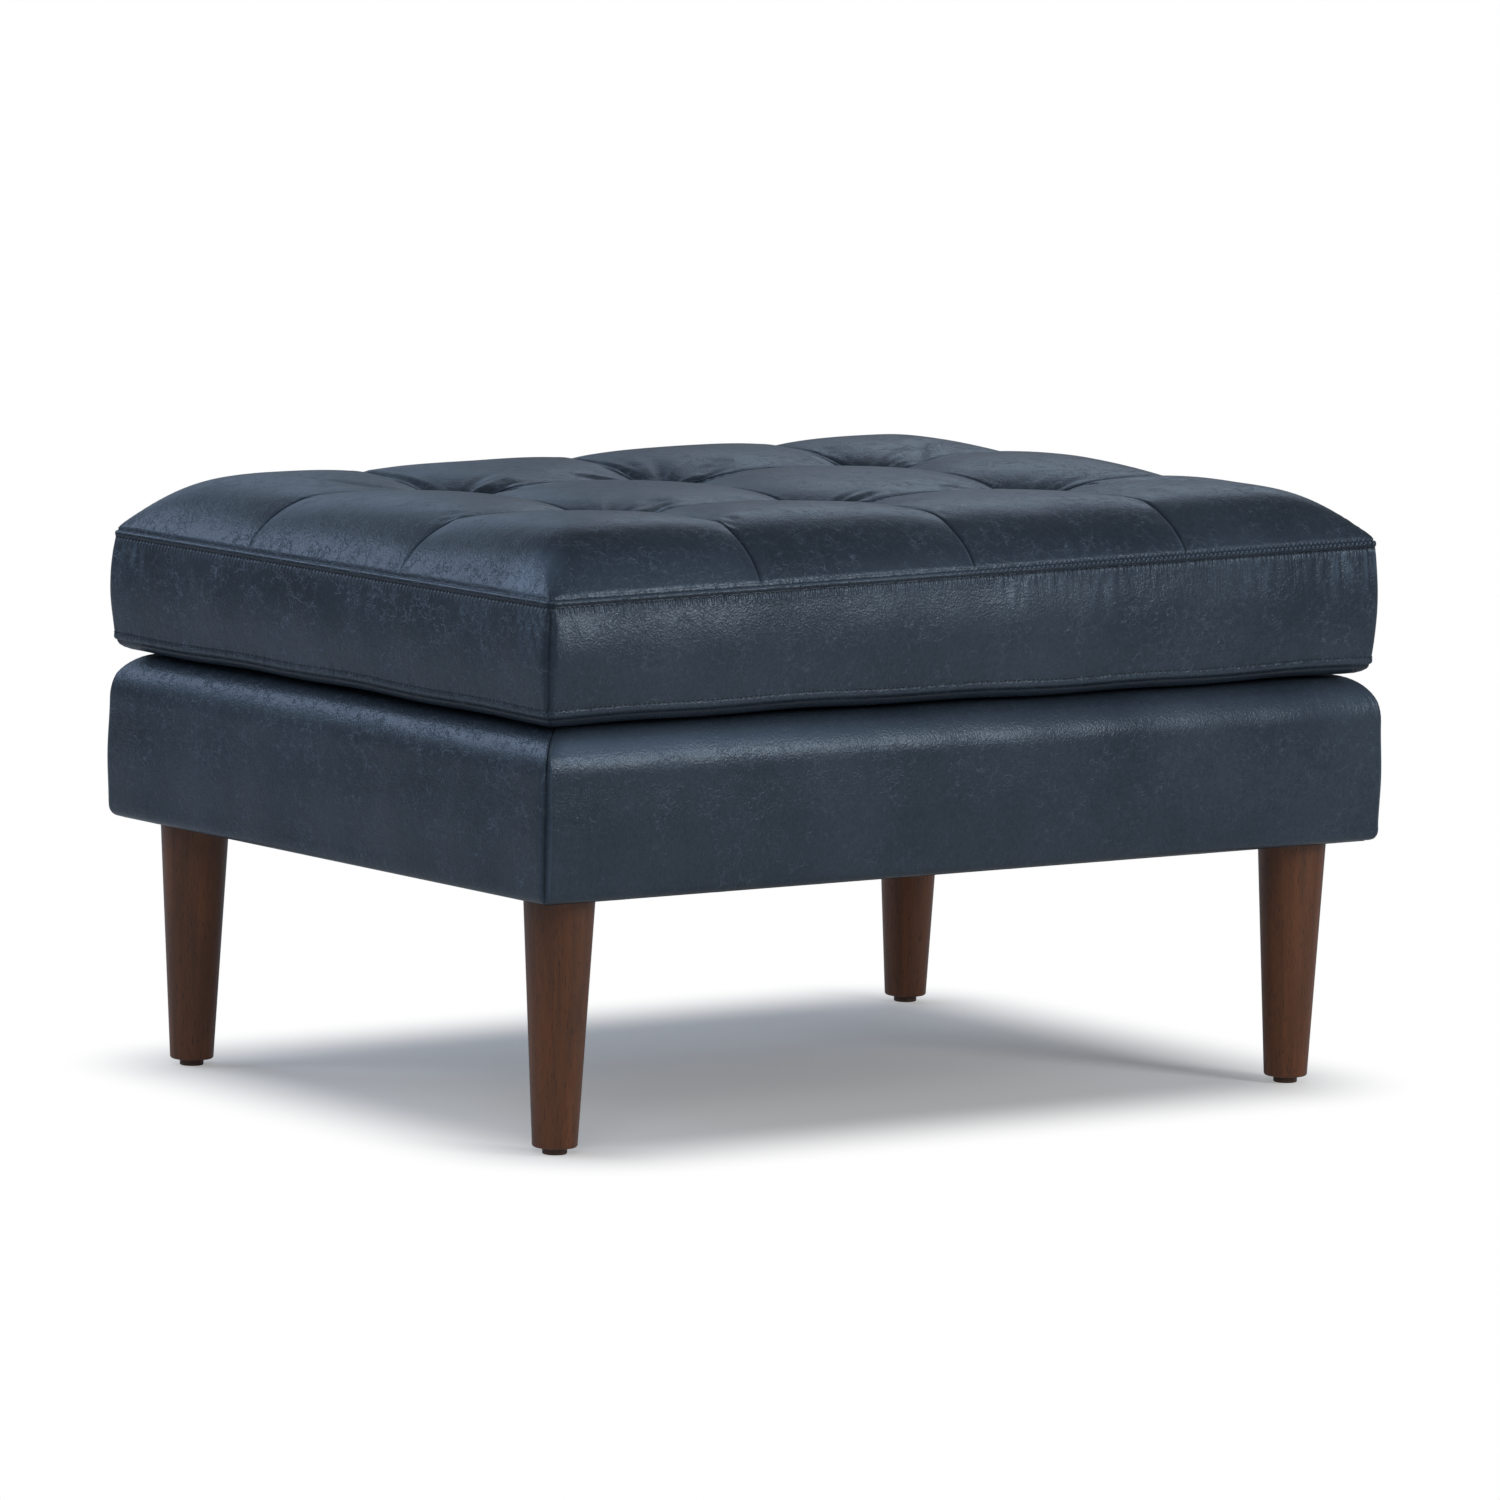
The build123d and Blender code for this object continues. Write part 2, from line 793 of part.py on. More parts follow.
def save_cushion_cover():
    """Twelve top panels, four boxing strips and the bottom panel."""
    skin = cushion_cover()
    x_lines = seam_lines(column_seam_shares, cushion_length)
    y_lines = seam_lines(row_seam_shares, cushion_depth)
    for column in range(columns):
        for row in range(rows):
            with BuildPart() as panel:
                add(skin)
                with BuildSketch(Plane((cushion_shift, 0, top_seam))):
                    with BuildLine():
                        Polyline(
                            (x_lines[column], y_lines[row]),
                            (x_lines[column + 1], y_lines[row]),
                            (x_lines[column + 1], y_lines[row + 1]),
                            (x_lines[column], y_lines[row + 1]),
                            close=True,
                        )
                    make_face()
                extrude(amount=shoulder_height, mode=Mode.INTERSECT)
            save(panel.part, f"top_panel_{column + 1}_{row + 1}")
    for side in sides:
        strip = mitred_side(
            skin,
            cushion_length,
            cushion_depth,
            belly_width,
            bottom_seam,
            top_seam,
            side,
            cushion_shift,
        )
        save(strip, f"boxing_{side}")
    with BuildPart() as bottom:
        add(skin)
        wide = cushion_length + 2 * cut_overrun
        deep = cushion_depth + 2 * cut_overrun
        add(slab(wide, deep, cushion_bottom, bottom_seam, cushion_shift), mode=Mode.INTERSECT)
    save(bottom.part, "cushion_bottom_panel")


def save_cushion_filling():
    """Foam core, wadding over it, and the twines and discs that hold the tufts down."""
    filling = cushion_form(padding_inset)
    core_bottom = cushion_bottom + padding_inset
    disc_top = core_bottom + tuft_disc_thickness
    twine_top = top_seam + tuft_height - padding_inset - filling_clearance
    twine_hole = twine_diameter / 2 + fastener_clearance
    with BuildPart() as core:
        add(filling)
        add(
            slab(cushion_length + 2 * cut_overrun, cushion_depth + 2 * cut_overrun,
                 cushion_bottom, core_top, cushion_shift),
            mode=Mode.INTERSECT,
        )
        with BuildSketch(Plane.XY.offset(core_bottom)):
            with Locations(*tuft_places()):
                Circle(tuft_disc_diameter / 2 + fastener_clearance)
        extrude(amount=tuft_disc_thickness + fastener_clearance, mode=Mode.SUBTRACT)
        with BuildSketch(Plane.XY.offset(core_bottom)):
            with Locations(*tuft_places()):
                Circle(twine_hole)
        extrude(amount=core_top - core_bottom, mode=Mode.SUBTRACT)
    save(core.part, "cushion_core")
    with BuildPart() as wadding:
        add(filling)
        add(
            slab(cushion_length + 2 * cut_overrun, cushion_depth + 2 * cut_overrun,
                 core_top, top_seam + shoulder_height, cushion_shift),
            mode=Mode.INTERSECT,
        )
        with BuildSketch(Plane.XY.offset(core_top)):
            with Locations(*tuft_places()):
                Circle(twine_hole)
        extrude(amount=shoulder_height, mode=Mode.SUBTRACT)
    save(wadding.part, "cushion_wadding")
    with BuildPart() as twines:
        with BuildSketch(Plane.XY.offset(disc_top)):
            with Locations(*tuft_places()):
                Circle(twine_diameter / 2)
        extrude(amount=twine_top - disc_top)
    save(twines.part, "tuft_twines")
    with BuildPart() as discs:
        with BuildSketch(Plane.XY.offset(core_bottom)):
            with Locations(*tuft_places()):
                Circle(tuft_disc_diameter / 2)
        extrude(amount=tuft_disc_thickness)
    save(discs.part, "tuft_discs")


os.makedirs("parts", exist_ok=True)
save_frame()
save_springs()
save_base_padding()
save_base_cover()
save_underside()
save_legs()
save_cushion_cover()
save_cushion_filling()
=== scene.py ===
# %% [markdown]
# # An ottoman coffee table in navy leather
# The real object is a padded box on four turned legs, with a loose box cushion lying on its deck.
# The wooden and metal pieces come from the CAD model and only get a finish here. Everything soft is
# made again in this file, because leather over foam is full of small swells, puckers and creases
# that a CAD solid doesn't have.

# %% Load the fixed frame
import math

import bpy
import numpy as np
from mathutils import Matrix, Vector


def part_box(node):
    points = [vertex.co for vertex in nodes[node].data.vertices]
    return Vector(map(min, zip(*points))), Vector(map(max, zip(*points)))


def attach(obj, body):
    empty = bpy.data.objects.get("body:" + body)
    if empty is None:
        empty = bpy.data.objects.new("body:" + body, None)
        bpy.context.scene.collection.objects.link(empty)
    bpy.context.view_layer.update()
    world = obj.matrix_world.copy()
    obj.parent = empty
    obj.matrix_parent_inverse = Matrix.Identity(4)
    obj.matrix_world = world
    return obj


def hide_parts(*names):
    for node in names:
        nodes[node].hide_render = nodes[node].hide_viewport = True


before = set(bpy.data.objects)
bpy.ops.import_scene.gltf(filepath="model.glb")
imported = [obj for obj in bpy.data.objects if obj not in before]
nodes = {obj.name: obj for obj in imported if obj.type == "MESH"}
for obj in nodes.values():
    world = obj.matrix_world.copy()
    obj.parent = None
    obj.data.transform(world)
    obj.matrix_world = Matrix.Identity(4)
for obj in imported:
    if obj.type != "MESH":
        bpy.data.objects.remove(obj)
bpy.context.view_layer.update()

bpy.ops.object.select_all(action="DESELECT")

# %% [markdown]
# ## The camera
# The picture was taken from well back with a long lens, so the far side of the table is hardly
# smaller than the near side. The camera's place and turn were worked out from the leg tips and the
# edges of the box. A small sideways shift stands for the way that the picture was cropped.

# %% Camera
picture_width, lens_pixels, middle_pixel = 1500, 9350.16, 740.7
camera_place = (-4.1033, -5.4825, 1.0661)
yaw, pitch, roll = (math.radians(a) for a in (36.778, 6.871, 1.209))
forward = Vector((math.sin(yaw) * math.cos(pitch), math.cos(yaw) * math.cos(pitch), -math.sin(pitch)))
level_right = Vector((math.cos(yaw), -math.sin(yaw), 0))
level_up = level_right.cross(forward)
right = math.cos(roll) * level_right + math.sin(roll) * level_up
up = math.cos(roll) * level_up - math.sin(roll) * level_right

bpy.ops.object.camera_add()
camera = bpy.context.object
camera.name = "camera"
turn = Matrix((right, up, -forward)).transposed().to_4x4()
camera.matrix_world = Matrix.Translation(camera_place) @ turn
camera.data.lens = camera.data.sensor_width * lens_pixels / picture_width
camera.data.shift_x = 0.5 - middle_pixel / picture_width
camera.data.clip_end = 200
bpy.context.scene.camera = camera
print("lens in mm:", round(camera.data.lens, 1), "shift:", round(camera.data.shift_x, 4))

# %% [markdown]
# ## Helpers for materials
# A colour that a designer reads off a screen is an sRGB value, while Blender mixes light in linear
# values, so one function turns the first into the second. Another adds a node to a material.

# %% Material helpers
def linear(code):
    """An sRGB hex colour as linear red, green, blue and alpha."""
    shares = [int(code[i:i + 2], 16) / 255 for i in (1, 3, 5)]
    return [s / 12.92 if s <= 0.04045 else ((s + 0.055) / 1.055) ** 2.4 for s in shares] + [1]


def add_node(material, kind, sockets=None, take=0, **settings):
    """Adds a shader node to a material or the world and returns the output that is taken from it.
    Each socket gets a value or another node's output, and settings are its properties."""
    tree = material.node_tree
    made = tree.nodes.new("ShaderNode" + kind)
    for name, value in settings.items():
        setattr(made, name, value)
    for socket, value in (sockets or {}).items():
        if isinstance(value, bpy.types.NodeSocket):
            tree.links.new(value, made.inputs[socket])
        else:
            made.inputs[socket].default_value = value
    return made.outputs[take]


def main_shader(material):
    """The shader that each material starts with."""
    return material.node_tree.nodes["Principled BSDF"]


def new_material(name, roughness, ior=1.5, metallic=0.0):
    """A material whose main shader has the values that are the same all over the surface."""
    made = bpy.data.materials.new(name)
    made.use_nodes = True
    for socket, value in {"Roughness": roughness, "IOR": ior, "Metallic": metallic}.items():
        main_shader(made).inputs[socket].default_value = value
    return made


def to_shader(material, **sources):
    """Joins node outputs to sockets of the main shader."""
    for socket, source in sources.items():
        material.node_tree.links.new(source, main_shader(material).inputs[socket.replace("_", " ")])


def dress(names, material):
    """Gives a finish to CAD nodes that keep their shape."""
    for name in names:
        nodes[name].data.materials.clear()
        nodes[name].data.materials.append(material)


print("navy in linear values:", [round(v, 4) for v in linear("#2B3743")])

# %% [markdown]
# ## Leather
# The cover is aniline-dyed cow leather with a light wax finish. Wax leather is semi-gloss: it gives
# broad, soft highlights. Its surface is a fine pebble grain, and where the hide was pulled it shows
# paler veins. The grain is about 1 mm wide on the real hide and is drawn at 1.6 mm, because it
# wouldn't show in the picture otherwise. Each leather piece carries five numbers at every point,
# which the material reads: how pale it is from wear and painted highlights, how dark it is from
# painted shade in seams, grooves and under the lip, how much the seam puckers it, how far it puffs
# up between two stitches, which also lays a painted highlight there, and how many veins the hide
# shows there.

# %% Leather colour
leather = new_material("waxed_aniline_leather_navy", 0.42)
grain_size, vein_size, crackle_size = 0.0016, 0.013, 0.0058
stitch_count = 619
stitch_pitch = 2.6 / stitch_count  # the way round the cushion is 2.6 m
place = add_node(leather, "TexCoord", take="Object")

# Noise patterns: size in metres, detail and roughness.
noise = {}
for name, size, detail, roughness in (
        ("swirl", 0.016, 4, 0.65), ("clouds", 0.10, 6, 0.6), ("patches", 0.03, 5, 0.62),
        ("broken", 0.007, 2, 0.5), ("mottle", 0.0032, 3, 0.7), ("pores", 0.0011, 2, 0.5),
        ("folds", 0.017, 3, 0.5)):
    noise[name] = add_node(leather, "TexNoise", {"Vector": place, "Scale": 1 / size, "Detail": detail,
                                                 "Roughness": roughness})

# Part of a pattern's range, from low to high, is spread over a new range.
cloud, patch, gaps, mottle = (
    add_node(leather, "MapRange", {0: noise[name], 1: low, 2: high, 3: new_low, 4: new_high})
    for name, low, high, new_low, new_high in (
        ("clouds", 0.30, 0.70, 0, 1), ("patches", 0.38, 0.60, 0, 1), ("broken", 0.40, 0.58, 0, 1),
        ("mottle", 0.3, 0.7, -0.4, 0.4)))

# Veins and a finer crackle run along the borders of cells, in a place that the swirl has bent.
swirl = noise["swirl"].node.outputs["Color"]
bent = add_node(leather, "VectorMath", {0: swirl, 1: (0.02,) * 3, 2: place}, operation="MULTIPLY_ADD")
lines = []
for size, width in ((crackle_size, 0.062), (vein_size, 0.027)):
    cells = add_node(leather, "TexVoronoi", {"Scale": 1 / size, "Randomness": 1.0, "Vector": bent},
                     feature="DISTANCE_TO_EDGE")
    lines.append(add_node(leather, "MapRange", {0: cells, 1: 0.0, 2: width, 3: 1.0, 4: 0.0}))
rubbed, sunk, puckered, gathered, veined = (
    add_node(leather, "Attribute", take="Fac", attribute_name=name)
    for name in ("rubbed", "sunk", "puckered", "gathered", "veined"))
seamwise = add_node(leather, "UVMap", uv_map="seamwise")
vein_share = add_node(leather, "Math", {0: patch, 1: gaps}, operation="MULTIPLY")
vein_there = add_node(leather, "Math", {0: vein_share, 1: veined}, operation="MULTIPLY")
both_lines = add_node(leather, "Math", {0: lines[0], 1: 0.6, 2: lines[1]}, operation="MULTIPLY_ADD")
marks = add_node(leather, "Math", {0: both_lines, 1: vein_there}, operation="MULTIPLY", use_clamp=True)

# Between two stitches the leather puffs up, and a painted highlight makes one pale spot to a stitch.
along_seam = add_node(leather, "SeparateXYZ", {0: seamwise})
stitch_turn = add_node(leather, "Math", {0: along_seam, 1: 2 * math.pi / stitch_pitch},
                       operation="MULTIPLY")
stitch_wave = add_node(leather, "Math", {0: stitch_turn}, operation="COSINE")
stitch_puff_and_glint = add_node(leather, "Math", {0: stitch_wave, 1: gathered}, operation="MULTIPLY")

# The dye in two tones, then each mark lays its own colour over what is there: pale veins, pale wear
# mixed with painted highlights, and a painted highlight where the leather puffs up between stitches.
tone_share = add_node(leather, "Math", {0: cloud, 1: mottle}, operation="ADD", use_clamp=True)
tone = add_node(leather, "Mix", {0: tone_share, 6: linear("#27303A"), 7: linear("#353F4A")}, 2,
                data_type="RGBA")
for mark, strength, colour in ((marks, 0.75, "#627486"), (rubbed, 0.55, "#7488A0"),
                               (stitch_puff_and_glint, 0.30, "#7D90A6")):
    share = add_node(leather, "Math", {0: mark, 1: strength}, operation="MULTIPLY", use_clamp=True)
    tone = add_node(leather, "Mix", {0: share, 6: tone, 7: linear(colour)}, 2, data_type="RGBA")
# Painted shade: seams, grooves, stitch lines and the underside of the lip are darkened towards near black.
tone = add_node(leather, "Mix", {0: sunk, 6: tone, 7: linear("#0A111A")}, 2, data_type="RGBA")
to_shader(leather, Base_Color=tone)
main_shader(leather).inputs["Specular IOR Level"].default_value = 0.4
main_shader(leather).inputs["Specular Tint"].default_value = linear("#D6EBFF")
print("leather nodes:", len(leather.node_tree.nodes))

# %% Leather surface
gloss = add_node(leather, "MapRange", {0: cloud, 1: 0.0, 2: 1.0, 3: 0.30, 4: 0.35})
dulled = add_node(leather, "Math", {0: marks, 1: 0.12, 2: gloss}, operation="MULTIPLY_ADD")
pebbles = add_node(leather, "TexVoronoi", {"Scale": 1 / grain_size, "Randomness": 0.9, "Vector": place},
                   feature="SMOOTH_F1")
grain = add_node(leather, "Math", {0: noise["pores"], 1: 0.6, 2: pebbles}, operation="MULTIPLY_ADD")
cracked = add_node(leather, "Math", {0: marks, 1: -1.0}, operation="MULTIPLY")
ripple_place = add_node(leather, "Mapping", {"Scale": (1 / 0.0055, 1 / 0.045, 1), "Vector": seamwise})
ripples = add_node(leather, "TexNoise", {"Scale": 1.0, "Detail": 3, "Vector": ripple_place})
pulled = add_node(leather, "Math", {0: ripples, 1: puckered}, operation="MULTIPLY")
pulled_puff = add_node(leather, "Math", {0: stitch_puff_and_glint, 1: 0.12, 2: pulled}, operation="MULTIPLY_ADD")
bump = add_node(leather, "Bump", {"Strength": 0.33, "Distance": 0.0006, "Height": grain})
for height, strength, depth in ((cracked, 0.5, 0.0008), (noise["folds"], 0.24, 0.0016),
                                (pulled_puff, 0.8, 0.0032)):
    bump = add_node(leather, "Bump", {"Strength": strength, "Distance": depth, "Height": height,
                                      "Normal": bump})
to_shader(leather, Roughness=dulled, Normal=bump)
print("grain in mm:", grain_size * 1000, "veins in mm:", vein_size * 1000)

# %% [markdown]
# ## Helpers for the soft pieces
# A box cushion is sewn from a top, a boxing strip round the sides and a bottom. The same lay-out
# makes a good mesh: a grid for the top, pulled up into a box, with rows of faces for the walls. The
# grid lines stand close together beside the seams, so that a seam only a few millimetres wide can
# still be shaped, and wide apart in the middle of a panel. All sizes in these cells are millimetres.

# %% Places of the grid lines
def grid_places(half, seams, beside_seam, beside_edge, step):
    """Places of the grid lines from -half to half: close together beside the seams and the edges."""
    fixed = {-half, half, *seams}
    fixed.update(s + side * d for s in seams for d in beside_seam for side in (-1, 1))
    fixed.update(side * (half - d) for d in beside_edge for side in (-1, 1))
    fixed = sorted(fixed)
    lines = [np.linspace(a, b, max(1, round((b - a) / step)), endpoint=False)
             for a, b in zip(fixed, fixed[1:])]
    return np.concatenate([*lines, [half]])


def pick(piece=None):
    """Makes a piece the active one and the only one that is selected, or selects none."""
    bpy.ops.object.select_all(action="DESELECT")
    if piece:
        piece.select_set(True)
        bpy.context.view_layer.objects.active = piece


def edit(*steps):
    """Runs mesh operators on the active piece in edit mode: each step is a name and its settings."""
    bpy.ops.object.mode_set(mode="EDIT")
    for name, settings in steps:
        getattr(bpy.ops.mesh, name)(**settings)
    bpy.ops.object.mode_set(mode="OBJECT")


select_all, select_none = (("select_all", {"action": action}) for action in ("SELECT", "DESELECT"))
face_out = ("normals_make_consistent", {"inside": False})


def sewn_box(name, across, along, rows, open_top=False):
    """A box with a face between each two grid lines and the given number of wall rows. Its underside
    is one flat face, or it is open below and above. Returns it with the column, line and row number
    of each of its points."""
    pick()
    bpy.ops.mesh.primitive_grid_add(x_subdivisions=len(across) - 1, y_subdivisions=len(along) - 1, size=2)
    box = bpy.context.object
    box.name = box.data.name = name
    bpy.context.tool_settings.mesh_select_mode = (False, True, False)
    edit(select_all, ("extrude_region_move", {"TRANSFORM_OT_translate": {"value": (0, 0, rows)}}),
         select_none)
    height = points_of(box)[:, 2]
    ends = np.empty(len(box.data.edges) * 2, np.int32)
    box.data.edges.foreach_get("vertices", ends)
    box.data.edges.foreach_set("select", np.abs(height[ends[::2]] - height[ends[1::2]]) > 0.5)
    edit(("subdivide", {"number_cuts": rows - 1}), ("select_mode", {"type": "FACE"}), select_none)
    for face in box.data.polygons:
        face.select = face.center.z < 0.01 or (open_top and face.center.z > rows - 0.01)
    edit(("delete", {"type": "FACE"}))
    if not open_top:
        bpy.context.tool_settings.mesh_select_mode = (False, True, False)
        height = points_of(box)[:, 2]
        for rim_edge in box.data.edges:
            rim_edge.select = bool(max(height[list(rim_edge.vertices)]) < 0.5)
        edit(("edge_face_add", {}))
    edit(select_all, face_out)
    at = points_of(box)
    column = np.rint((at[:, 0] + 1) / 2 * (len(across) - 1)).astype(int)
    line = np.rint((at[:, 1] + 1) / 2 * (len(along) - 1)).astype(int)
    return box, column, line, np.rint(at[:, 2]).astype(int)


def points_of(piece):
    """The points of a mesh as rows of x, y and z."""
    at = np.empty(len(piece.data.vertices) * 3)
    piece.data.vertices.foreach_get("co", at)
    return at.reshape(-1, 3)


def place_points(piece, x, y, z):
    """Moves the points of a mesh to places given in millimetres."""
    at = np.stack([x, y, z], 1) / 1000
    piece.data.vertices.foreach_set("co", at.ravel())
    piece.data.update()


def keep_numbers(piece, **numbers):
    """Stores one number of each kind at each point of a mesh, for its material."""
    for name, values in numbers.items():
        layer = piece.data.attributes.new(name, "FLOAT", "POINT")
        layer.data.foreach_set("value", np.asarray(values, np.float32))


def keep_uv(piece, u, v):
    """Stores how far each point lies along its seam and away from it, in metres."""
    layer = piece.data.uv_layers.new(name="seamwise")
    corner = np.empty(len(piece.data.loops), np.int32)
    piece.data.loops.foreach_get("vertex_index", corner)
    layer.data.foreach_set("uv", (np.stack([u[corner], v[corner]], 1) / 1000).astype(np.float32).ravel())


# %% Round corners in plan
def corner_turn(x, y, half_x, half_y, radius):
    """How far a point lies into a corner of the outline, as a share of the corner's radius, and the
    direction in which the outline faces there."""
    into_x = np.clip((np.abs(x) - half_x + radius) / radius, 0, 1)
    into_y = np.clip((np.abs(y) - half_y + radius) / radius, 0, 1)
    most = np.maximum(np.maximum(into_x, into_y), 1e-9)
    flatter = np.minimum(into_x, into_y) / most * math.pi / 4
    angle = np.where(into_x >= into_y, flatter, math.pi / 2 - flatter)
    return most, np.cos(angle) * np.sign(x), np.sin(angle) * np.sign(y)


def inside_place(x, y, half_x, half_y, radius):
    """Where a grid point inside the outline goes, so that the square corners become round."""
    most, face_x, face_y = corner_turn(x, y, half_x, half_y, radius)
    in_corner = (np.abs(x) > half_x - radius) & (np.abs(y) > half_y - radius)
    round_x = np.sign(x) * (half_x - radius) + radius * most * face_x
    round_y = np.sign(y) * (half_y - radius) + radius * most * face_y
    return np.where(in_corner, round_x, x), np.where(in_corner, round_y, y)


def wall_place(x, y, out, half_x, half_y, radius):
    """Where a point of the outline goes when the wall stands out by so much."""
    _, face_x, face_y = corner_turn(x, y, half_x, half_y, radius)
    turned = np.maximum(radius + out, 2.5)
    centre_x = np.clip(x / (half_x - radius), -1, 1) * (half_x + out - turned)
    centre_y = np.clip(y / (half_y - radius), -1, 1) * (half_y + out - turned)
    return centre_x + turned * face_x, centre_y + turned * face_y


def way_round(x, y, half_x, half_y):
    """How far round the outline the nearest edge point lies, and how far away the edge is."""
    gaps = np.stack([half_y + y, half_x - x, half_y - y, half_x + x])
    ways = np.stack([half_x + x, 2 * half_x + half_y + y, 3 * half_x + 2 * half_y - x,
                     4 * half_x + 3 * half_y - y])
    nearest = gaps.argmin(0)[None]
    return np.take_along_axis(ways, nearest, 0)[0], np.maximum(gaps.min(0), 0)


print("how far round a 4 by 2 mm outline its sides' middles lie:",
      way_round(np.array([0, 2, 0, -2]), np.array([-1, 0, 1, 0]), 2, 1)[0])

# %% Waves and creases
def bell(gap, width):
    """1 where the gap is 0, falling off to both sides."""
    return np.exp(-(gap / width) ** 2)


def fading(gap, reach):
    """1 where the gap is 0, ever less the larger it is."""
    return np.exp(-gap / reach)


def swell(u, lengths, sizes, seed):
    """Slow waves along a line, the same on each run."""
    phases = np.random.default_rng(seed).uniform(0, 2 * math.pi, len(lengths))
    return sum(s * np.sin(2 * math.pi * u / l + p) for l, s, p in zip(lengths, sizes, phases))


def crease(x, y, start, angle, length, depth, width, bend=0.0):
    """Height of one crease: a valley with a low ridge on each side that fades out along its length."""
    c, s = math.cos(math.radians(angle)), math.sin(math.radians(angle))
    ahead = (x - start[0]) * c + (y - start[1]) * s
    beside = (y - start[1]) * c - (x - start[0]) * s - bend * ahead ** 2 / length
    share = np.clip(ahead / length, 0, 1)
    fade = np.clip(ahead / (2 * width), 0, 1) * (1 - share) ** 1.3
    wide = width * (0.7 + 0.9 * share)
    return depth * fade * (0.45 * bell(np.abs(beside) - 2.1 * wide, wide) - bell(beside, wide))


print("a bell's height one width away:", round(float(bell(1, 1)), 3))

# %% [markdown]
# ## The cushion: sizes
# The cushion is 747 by 553 mm. Its top has twelve panels, four by three, and six tufts pull the
# seam crossings down. From the border seam the top rises in a shoulder, steep at first and then
# ever flatter, which is widest at the two ends. The boxing strip is 85 mm high. Where the top is
# sewn to it, the folded edge of the leather makes a band 5 mm high that stands a little proud, with
# a row of stitches below it, and the bottom seam has a similar lip. The heights of the twelve panels
# were read from the ridges in the picture: the left ones are fuller.

# %% Cushion sizes
cushion_middle_x = -4.5
half_length, half_depth, corner_radius = 373.5, 276.5, 5.0
cushion_way = 4 * (half_length + half_depth)
corner_ways = 2 * half_length, 2 * (half_length + half_depth), 4 * half_length + 2 * half_depth
column_seams = np.array([-196.0, -6.0, 188.0]) - cushion_middle_x
row_seams = np.array([-91.0, 101.0])
tufts = [(x, y) for x in column_seams for y in row_seams]
seam_height, tuft_height = 400.0, 415.0
panel_heights = np.array([[450.8, 447.4, 446.0], [444.9, 441.1, 443.2],
                          [438.5, 439.2, 443.1], [437.7, 441.9, 440.7]])
left_shoulder, right_shoulder, side_shoulder = 132.0, 140.0, 90.0
saddle_share, border_share = 0.75, 0.95

# Wall of the cushion from the underside up: height in mm, and how far it stands out.
lower_wall = [(305.3, -38), (305.6, -26), (306.3, -16), (307.4, -9.5), (309.0, -5.6), (311.0, -3.0),
              (312.8, -1.9), (314.2, -1.5), (314.9, -0.1), (315.7, 0.6), (317.0, 0.8), (318.6, 0.7),
              (319.8, 0.4), (321.0, 0.7)]
upper_wall = [(392.8, 1.2), (394.2, 0.8), (395.2, 0.2), (395.8, 0.2), (396.3, 0.7), (397.4, 1.0),
              (398.8, 1.0), (399.8, 0.6), (400.3, -0.2), (400.5, -1.5)]
boxing_low, boxing_top, boxing_span = 321.0, 394.5, 72.0
plain_rows = 23
plain_heights = np.linspace(boxing_low, upper_wall[0][0], plain_rows + 2)[1:-1]
plain_wall = [(z, 0.7 + 3.2 * math.sin(math.pi * (z - boxing_low) / boxing_span)
               + 0.5 * (z - boxing_low) / boxing_span) for z in plain_heights]
wall = np.array(lower_wall + plain_wall + upper_wall)
lip_stitch_row, band_stitch_row = 12, len(lower_wall) + plain_rows + 2
band_top_row = len(wall) - 4
print("wall rows:", len(wall), "boxing height in mm:", seam_height - wall[8, 0])

# %% Height of the cushion's top
def arch(share):
    """A rise from 0 to 1 that levels out like a quarter circle."""
    return np.sqrt(1 - (1 - np.clip(share, 0, 1)) ** 2)


def shoulder_rise(gap, shoulder, power):
    """The rise beside a border seam: steep at the seam, level where the shoulder ends."""
    return np.clip(1 - (1 - np.clip(gap / shoulder, 0, 1)) ** power, 1e-6, 1)


def panel_bulge(x, seams, power):
    """0 on the seams and 1 in the middle of each panel, steep beside the seam and flat in the middle.
    The outer halves of the border panels stay at 1."""
    edges = np.array([2 * seams[0] - seams[1], *seams, 2 * seams[-1] - seams[-2]])
    number = np.clip(np.searchsorted(edges, x, side="right") - 1, 0, len(edges) - 2)
    share = np.clip((x - edges[number]) / (edges[number + 1] - edges[number]), 0, 1)
    bulge = 1 - np.abs(2 * share - 1) ** power
    outer = ((number == 0) & (share < 0.5)) | ((number == len(edges) - 2) & (share > 0.5))
    return np.where(outer, 1, bulge)


def seam_rise(x):
    """How much the top seam climbs from the left end to the right, as the picture shows."""
    return 0.0149 * x


